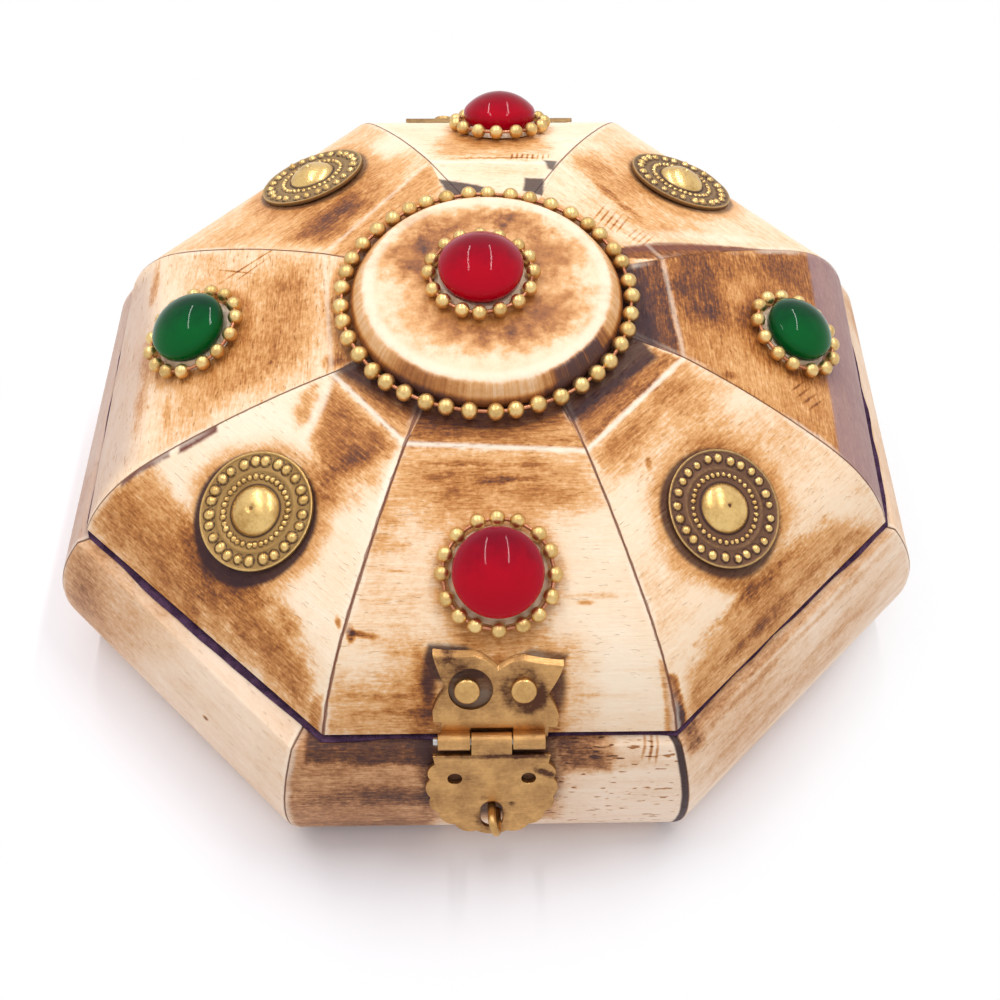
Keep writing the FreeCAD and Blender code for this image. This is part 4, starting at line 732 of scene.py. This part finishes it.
def makeRosette(side, seed):
    shape = rosetteShape
    node = "rosette_" + side
    hollowTone, soot, plump = rosetteTones[side]
    seat, radius, _ = seatOf(node)
    edge = radius / mm
    draw = random.Random(seed)

    def knobs(kind, count, askew, stray):       # angle, ring, size and rise of each knob in a ring
        return [((k + draw.uniform(-askew, askew)) / count * math.tau,
                 shape[kind + "Ring"] + draw.uniform(-stray, stray),
                 shape[kind] * plump * draw.uniform(0.86, 1.1),
                 shape[kind + "Rise"] * draw.uniform(0.72, 1.05)) for k in range(count)]

    bosses = knobs("boss", shape["bosses"], 0.12, 0.12)
    beads = knobs("bead", shape["beads"], 0.1, 0.05)
    radii = [0.0, 0.12, 0.22, 0.4, 0.8, 1.3, 1.8, 2.3, 2.7, 3.0, 3.25, 3.42, 3.55]
    count = int((edge - 3.75) / shape["step"])
    radii += [3.7 + shape["step"] * k for k in range(count)] + [edge - 0.06, edge]
    below = [(edge, 0.1), (edge - 0.08, 0.0), (edge * 0.5, 0.0), (0.0, 0.0)]
    bm = spun([(r, shape["sheet"]) for r in radii] + below, shape["sectors"])
    proudLayer = bm.verts.layers.float.new("proud")
    for v in bm.verts:
        if v.co.z < shape["sheet"] * mm * 0.9:
            continue
        px, py = v.co.x / mm, v.co.y / mm
        out = math.hypot(px, py)
        rise, proud, shade = 0.0, 0.0, 0.0
        # a ring of painted shade round the dome's foot
        if 0 < out - shape["dome"] < shape["skirt"]:
            shade = 1 - (out - shape["dome"]) / shape["skirt"]
        if out < shape["dome"]:
            rise = shape["domeRise"] * (1 - (out / shape["dome"]) ** 2.1) ** 0.62
            proud = 0.35 + 0.65 * min(1, rise / shape["domeRise"] * 1.6)
            if out < shape["pit"]:
                rise -= shape["pitDepth"]
                proud = 0.0
        for rows in (beads, bosses):
            if abs(out - rows[0][1]) > shape["knobReach"]:
                continue
            for angle, ring, size, lift in rows:
                bx, by = ring * math.cos(angle), ring * math.sin(angle)
                dx, dy = px - bx, py - by
                inward = (dx * bx + dy * by) / ring / (size * 1.12)
                aside = (dy * bx - dx * by) / ring / size
                near = inward * inward + aside * aside
                if near < 1:
                    rise = max(rise, lift * (1 - near) ** 0.7)
                    proud = max(proud, min(1, 1.5 * (1 - near)))
                # painted shade round each knob's foot
                elif near < 2:
                    shade = max(shade, 2 - near)
        bandOff = abs(out - shape["band"]) / shape["bandHalf"]
        if bandOff < 1:
            rise = max(rise, shape["bandRise"] * (1 - bandOff ** 2))
            proud = max(proud, 0.2 * (1 - bandOff ** 2))
        rimIn = (out - edge + shape["rim"]) / shape["rim"]
        if rimIn > 0:
            rise = max(rise, shape["rimRise"] * math.sin(min(1, rimIn * 1.1) * math.pi * 0.75))
            proud = max(proud, min(0.36, 0.6 * rimIn))
        wobble = noise.noise(Vector((px * 0.35, py * 0.35, seed * 3.1)))
        v.co.z += (rise * (1 + 0.10 * wobble) + 0.06 * wobble) * mm
        v[proudLayer] = proud if proud > 0.1 else -shade       # below 0 at the feet of the knobs and the dome, which get painted shade
    bmesh.ops.transform(bm, verts=bm.verts, matrix=seat)
    brass = brassFinish("brass_rosette_" + side, (228, 192, 126), (188, 148, 88), hollowTone, rough=0.27,
                        dirt=0.25, attribute="proud", soot=soot)
    settle("brass_rosette_" + side, bm, [brass], "lid", [node], sharp=70)


for seed, side in enumerate(rosetteTones):
    makeRosette(side, seed + 3)
print("rosettes struck")

# Ball chain: beads strung a little unevenly on a thin wire
chainShape = dict(segments=14, rings=9, link=0.26, linkSides=8, jitter=0.10, stray=(-0.10, 0.04),
                  sizes=(0.97, 1.0), lean=0.2, squash=0.05, pitch=2.9, stoneBead=1.12, discBead=1.24,
                  discCount=41, discOpening=15)


def makeChain(name, node, bead, count, seed, opening=None):
    shape = chainShape
    seat, reach, _ = seatOf(node)
    ring = reach / mm - bead
    count = count or round(math.tau * ring / shape["pitch"])
    draw = random.Random(seed)
    bm = bmesh.new()
    centres = []
    for k in range(count):
        angle = (k + draw.uniform(-shape["jitter"], shape["jitter"])) / count * math.tau
        out = ring + draw.uniform(*shape["stray"])
        centres.append((angle, Vector((out * math.cos(angle), out * math.sin(angle), bead)) * mm))
    for k, (angle, centre) in enumerate(centres):
        size = draw.uniform(*shape["sizes"])
        lie = Matrix.Translation(centre) @ Matrix.Rotation(angle, 4, "Z")
        lie = lie @ Matrix.Rotation(math.pi / 2 + draw.uniform(-shape["lean"], shape["lean"]), 4, "X")
        lie = lie @ Matrix.Diagonal((size, size, size * (1 - draw.uniform(0, shape["squash"])), 1))
        bmesh.ops.create_uvsphere(bm, u_segments=shape["segments"], v_segments=shape["rings"],
                                  radius=bead * mm, matrix=lie)
        if k == opening:
            continue
        after = centres[(k + 1) % count][1]
        run = after - centre
        wire = Matrix.Translation((centre + after) / 2) @ run.to_track_quat("Z", "Y").to_matrix().to_4x4()
        thin = shape["link"] * mm
        made = bmesh.ops.create_cone(bm, cap_ends=True, segments=shape["linkSides"], radius1=thin,
                                     radius2=thin, depth=run.length, matrix=wire)
        for face in {face for v in made["verts"] for face in v.link_faces}:
            face.material_index = 1
    bmesh.ops.transform(bm, verts=bm.verts, matrix=seat)
    return settle(name, bm, [beadBrass, linkCopper], "lid", [node], sharp=60)


for seed, spot in enumerate(stoneSpots):
    makeChain("ball_chain_" + spot, "bead_chain_" + spot, chainShape["stoneBead"], None, seed + 20)
makeChain("ball_chain_disc", "disc_bead_chain", chainShape["discBead"], chainShape["discCount"], 40,
          opening=chainShape["discOpening"])
print("chains strung")

# Glass stones: painted glow, brighter red towards the front (-y), and painted reflection as a pale haze
# towards the back edge
redGlass = (seen(180, 0, 30), seen(122, 0, 28), seen(178, 66, 86))      # painted glow, deep body colour and painted reflection
greenGlass = (seen(0, 92, 38), seen(2, 50, 30), seen(62, 118, 84))


def glassFinish(name, node, glowing, deep, reflectedTone):
    f = Finish(name, Roughness=0.04, Specular_IOR_Level=0.11)
    seat, radius, _ = seatOf(node)
    own = f.shift(f.mmSpot, place=tuple(-c / mm for c in seat.translation))
    x, y, _ = f.parts(own)
    flaws = f.cloud(own, 0.55, 5.0, 0.6)
    # painted glow: brighter towards -y
    glow = f.ease(y + (flaws - 0.5) * 5.0, 3.0, -4.5)
    out = f.length(f.joined(x, y)) / (radius / mm)
    haze = f.ease(out + y * 0.10 + (flaws - 0.5) * 0.3, 0.62, 1.20) * 0.38      # painted reflection: a pale haze towards its upper edge
    f.feed(Base_Color=f.blend(haze, f.blend(glow, deep, glowing), reflectedTone))
    return f.material


for spot in stoneSpots:
    glass = greenGlass if spot in ("left", "right") else redGlass
    repaint("cabochon_" + spot, glassFinish("glass_" + spot, "cabochon_" + spot, *glass))
print("stones coloured")

# Dried glue that was pressed out under the stones; radii are from the stone's widest part
glueShape = dict(spread=0.55, tuck=0.9, rise=1.5, steps=96)


def glueFinish():
    f = Finish("dried_glue", Roughness=0.35, Specular_IOR_Level=0.5)
    haze = f.cloud(f.mmSpot, 0.8, 3.0)
    f.feed(Base_Color=f.ramp(haze, [(0.3, seen(214, 186, 156)), (0.7, seen(238, 222, 202))]))
    return f.material


glueWhite = glueFinish()


def makeGlue(spot, seed):
    seat, radius, _ = seatOf("cabochon_" + spot)
    wide = radius / mm
    outer, inner, high = wide + glueShape["spread"], wide - glueShape["tuck"], glueShape["rise"]
    rim = [(inner - 1.2, 0.02), (outer, 0.02), (outer - 0.15, 0.4), (wide + 0.1, high * 0.6),
           (wide - 0.15, high), (inner, high - 0.4)]
    bm = spun(rim + rim[:1], glueShape["steps"])
    for v in bm.verts:
        run = noise.noise(Vector((v.co.x / mm * 0.22, v.co.y / mm * 0.22, seed * 7.3)))
        v.co.z *= 0.65 + 0.6 * run
    bmesh.ops.transform(bm, verts=bm.verts, matrix=seat)
    settle("glue_" + spot, bm, [glueWhite], "lid", sharp=60)


for seed, spot in enumerate(stoneSpots):
    makeGlue(spot, seed + 1)
print("glue laid")


# Velvet
def velvetFinish(name, deep, pile):
    f = Finish(name, Sheen_Weight=0.5, Sheen_Roughness=0.4, Sheen_Tint=pile, Specular_IOR_Level=0.1)
    nap = f.cloud(f.mmSpot, 0.5, 4.0)
    tuft = f.cloud(f.mmSpot, 5.0, 2.0)
    share = f.ease(nap * 0.7 + tuft * 0.3, 0.35, 0.65)
    f.feed(Base_Color=f.blend(share, deep, pile), Roughness=0.8 + tuft * 0.2)
    f.relief(tuft + nap, 0.00035)
    return f.material


velvet = velvetFinish("purple_velvet", seen(60, 38, 62), seen(102, 72, 102))
clothShape = dict(thickness=0.5, steps=160, rippleSize=0.14, overFlat=2.1)
# Rings of each lining from its edge inwards: apothem and height, in millimetres
linings = {
    "floor_velvet": dict(
        body="base", replaced=["base_floor_lining"], rests=["base_board"], held="laid",
        ripple=0.12, fill=True,
        rings=[(50.95, 4.4), (46, 4.36), (38, 4.36), (28, 4.36), (18, 4.36), (9, 4.36), (2, 4.36)]),
    "wall_velvet": dict(
        body="base", replaced=["base_wall_lining", "base_rim_velvet"], rests=["base_staves"], held="folded",
        ripple=0.10, lip=0.75, lipWays=(((-0.66, -0.75), 16), ((0.97, -0.22), 30)),
        rings=[(50.72, 4.5), (50.72, 10), (50.72, 16), (50.72, 21.5), (50.74, 23.2), (50.84, 23.66),
               (51.3, 23.8), (53, 23.82), (54.6, 23.84), (55.6, 23.86), (56.15, 23.8)]),
    "lid_velvet": dict(
        body="lid", replaced=["lid_lining"], rests=["lid_staves"], held="stretched",
        ripple=0.15, fill=True,
        rings=[(46.3, 24.62), (42, 26.84), (36, 30.0), (30, 33.16), (24, 36.32), (18, 39.47), (15.2, 40.92),
               (13.5, 41.05), (8, 41.05), (2, 41.05)]),
}


def ringLength(apothem):
    return 16 * apothem * math.tan(eighth) * mm


def reachOf(way, apothem, share):       # how far out a ring lies, with the seam's strayed corners
    shifts = {k: (x * share, y * share) for k, (x, y) in seamShifts.items()}
    corners = [cornerOf(k, apothem, shifts) for k in range(8)]
    reaches = []
    for here, after in zip(corners, corners[1:] + corners[:1]):
        outwards = Vector((after.y - here.y, here.x - after.x))
        if outwards.dot(way) > 0:
            reaches.append(outwards.dot(here) / outwards.dot(way))
    return min(reaches)


def makeLining(name, lining):
    rings = lining["rings"]
    bm = bmesh.new()
    circle = bmesh.ops.create_circle(bm, segments=clothShape["steps"], radius=mm)["verts"]
    edges = list({e for v in circle for e in v.link_edges})
    area, lastRing = 0.0, None
    for ring in rings:
        if lastRing:
            made = bmesh.ops.extrude_edge_only(bm, edges=edges)["geom"]
            loop = {g for g in made if isinstance(g, bmesh.types.BMVert)}
            edges = [g for g in made if isinstance(g, bmesh.types.BMEdge) and set(g.verts) <= loop]
            area += (ringLength(ring[0]) + ringLength(lastRing[0])) / 2 * math.dist(ring, lastRing) * mm
        for v in {v for e in edges for v in e.verts}:
            way = v.co.to_2d().normalized()
            out = reachOf(way, ring[0], max(0.0, (ring[0] - 52) / 4))
            if "lip" in lining and ring == rings[-1]:   # the cut edge shows unevenly under the lid
                uneven = noise.noise(Vector((way.x * 9, way.y * 9, 0.3))) * 0.6
                for toward, narrow in lining["lipWays"]:
                    uneven += max(0.0, way.dot(Vector(toward))) ** narrow
                out += lining["lip"] * uneven
            v.co = Vector((way.x * out, way.y * out, ring[1])) * mm
        lastRing = ring
    if lining.get("fill"):
        bmesh.ops.holes_fill(bm, edges=edges, sides=0)
    bmesh.ops.recalc_face_normals(bm, faces=bm.faces)
    for v in bm.verts:
        if not v.is_boundary:
            v.co += v.normal * lining["ripple"] * mm * noise.noise(v.co / mm * clothShape["rippleSize"])
    bmesh.ops.solidify(bm, geom=bm.faces, thickness=clothShape["thickness"] * mm)
    piece = settle(name, bm, [velvet], lining["body"], lining["replaced"], sharp=40)
    run = sum(math.dist(a, b) for a, b in zip(rings, rings[1:])) * mm
    if lining.get("fill"):
        flat = (run * clothShape["overFlat"], run * clothShape["overFlat"])
    else:
        flat = (ringLength(max(rings[0][0], rings[-1][0])), run)


for name, lining in linings.items():
    makeLining(name, lining)
print("velvet laid")


# Wood of the carcass
def woodFinish(name, pale, dark, run):
    f = Finish(name, Specular_IOR_Level=0.35)
    grain = f.shift(f.mmSpot, scale=run)
    figure = f.cloud(grain, 0.6, 4.0, 0.6)
    fibre = f.cloud(grain, 4.5, 3.0, 0.6)
    bands = f.add("ShaderNodeTexWave", {"wave_type": "BANDS", "bands_direction": "Y"},
                  {"Vector": grain, "Scale": 0.10, "Distortion": 6.0, "Detail": 2.0}, "Fac")
    share = figure * 0.5 + bands * 0.3 + fibre * 0.3
    f.feed(Base_Color=f.ramp(share, [(0.25, pale), (0.8, dark)]), Roughness=0.55 + fibre * 0.2)
    f.relief(fibre * 0.6 + bands * 0.3, 0.00015)
    return f.material


boardWood = woodFinish("carcass_board", seen(206, 168, 116), seen(160, 112, 66), (0.12, 1, 1))
staveWood = woodFinish("carcass_staves", seen(200, 160, 108), seen(152, 106, 62), (1, 1, 0.12))
for node in ("base_board", "lid_top_board"):
    repaint(node, boardWood)
for node in ("base_staves", "lid_staves"):
    repaint(node, staveWood)
print("wood grained")

# Camera as the photograph was taken
shot = dict(unit=0.056, seam=0.0245, focal=1583.2, frame=1000, away=4.084, height=55.12, around=-1.91,
            lean=1.05, target=(0.0118, -0.3349, 0.0))


def setCamera():
    high, around, lean = (math.radians(shot[k]) for k in ("height", "around", "lean"))
    back = Vector((math.sin(around) * math.cos(high), -math.cos(around) * math.cos(high), math.sin(high)))
    place = (Vector(shot["target"]) + back * shot["away"]) * shot["unit"] + Vector((0, 0, shot["seam"]))
    right = (-back).cross(Vector((0, 0, 1))).normalized()
    up = right.cross(-back)
    tiltRight = right * math.cos(lean) + up * math.sin(lean)
    tiltUp = -right * math.sin(lean) + up * math.cos(lean)
    camera = bpy.data.objects.new("camera", bpy.data.cameras.new("camera"))
    camera.data.lens = shot["focal"] / shot["frame"] * camera.data.sensor_width
    camera.data.clip_start = 0.001
    turn = Matrix((tiltRight, tiltUp, back)).transposed().to_4x4()
    turn.translation = place
    camera.matrix_world = turn
    bpy.context.scene.collection.objects.link(camera)
    bpy.context.scene.camera = camera


setCamera()

# Floor and light, in metres; past the bare ring, in millimetres, the floor is as white as the background
floorShape = dict(radius=3.0, segments=64, ringCentre=(8, 8, 0), ring=(58, 82))
lampShape = dict(height=0.62, tubes=dict(tube_left=-0.42, tube_right=0.34), tubeSpan=(-0.15, 1.25),
                 tubeWidth=0.024, tubePower=2.0, tentPower=1.9, tentSize=1.6, tentPlace=(0, 0.25, 0.9),
                 tentLean=-12, worldLight=0.64)


def floorFinish():
    f = Finish("white_floor", Roughness=0.9, Specular_IOR_Level=0.0, Base_Color=(0.94, 0.93, 0.98, 1))
    away = f.length(f.shift(f.mmSpot, place=floorShape["ringCentre"]))
    glow = f.add("ShaderNodeEmission", {}, {"Color": (1, 1, 1, 1), "Strength": 1.0})
    bare = f.lookedAt() * f.ease(away, *floorShape["ring"])
    mixed = f.add("ShaderNodeMixShader", {}, {0: bare, 1: Wire(f, f.shader.outputs[0]), 2: glow})
    f.tree.links.new(mixed.socket, f.tree.nodes["Material Output"].inputs["Surface"])
    return f.material


def makeLamp(name, shape, power, place):
    lamp = bpy.data.objects.new(name, bpy.data.lights.new(name, "AREA"))
    lamp.data.shape = shape
    lamp.data.energy = power
    lamp.location = place
    bpy.context.scene.collection.objects.link(lamp)
    return lamp


def setStage():
    bm = bmesh.new()
    bmesh.ops.create_circle(bm, cap_ends=True, segments=floorShape["segments"], radius=floorShape["radius"])
    mesh = bpy.data.meshes.new("floor")
    bm.to_mesh(mesh)
    bm.free()
    floor = bpy.data.objects.new("floor", mesh)
    mesh.materials.append(floorFinish())
    bpy.context.scene.collection.objects.link(floor)
    height, (low, high) = lampShape["height"], lampShape["tubeSpan"]
    for name, x in lampShape["tubes"].items():
        place = (x * height, (low + high) / 2 * height, height)
        tube = makeLamp(name, "RECTANGLE", lampShape["tubePower"], place)
        tube.data.size, tube.data.size_y = lampShape["tubeWidth"], (high - low) * height
    tent = makeLamp("tent", "DISK", lampShape["tentPower"], lampShape["tentPlace"])
    tent.data.size = lampShape["tentSize"]
    tent.rotation_euler = (math.radians(lampShape["tentLean"]), 0, 0)
    tent.visible_glossy = False
    world = bpy.data.worlds.new("studio")
    bpy.context.scene.world = world
    world.use_nodes = True
    sky = Graph(world.node_tree)
    ground = sky.tree.nodes["Background"]
    ground.inputs["Color"].default_value = (1.0, 0.995, 0.985, 1)
    level = sky.add("ShaderNodeMapRange", {},
                    {"Value": sky.lookedAt(), "To Min": lampShape["worldLight"], "To Max": 1.0})
    sky.tree.links.new(level.socket, ground.inputs["Strength"])
    bpy.context.scene.view_settings.view_transform = "Standard"


setStage()
print("stage set")
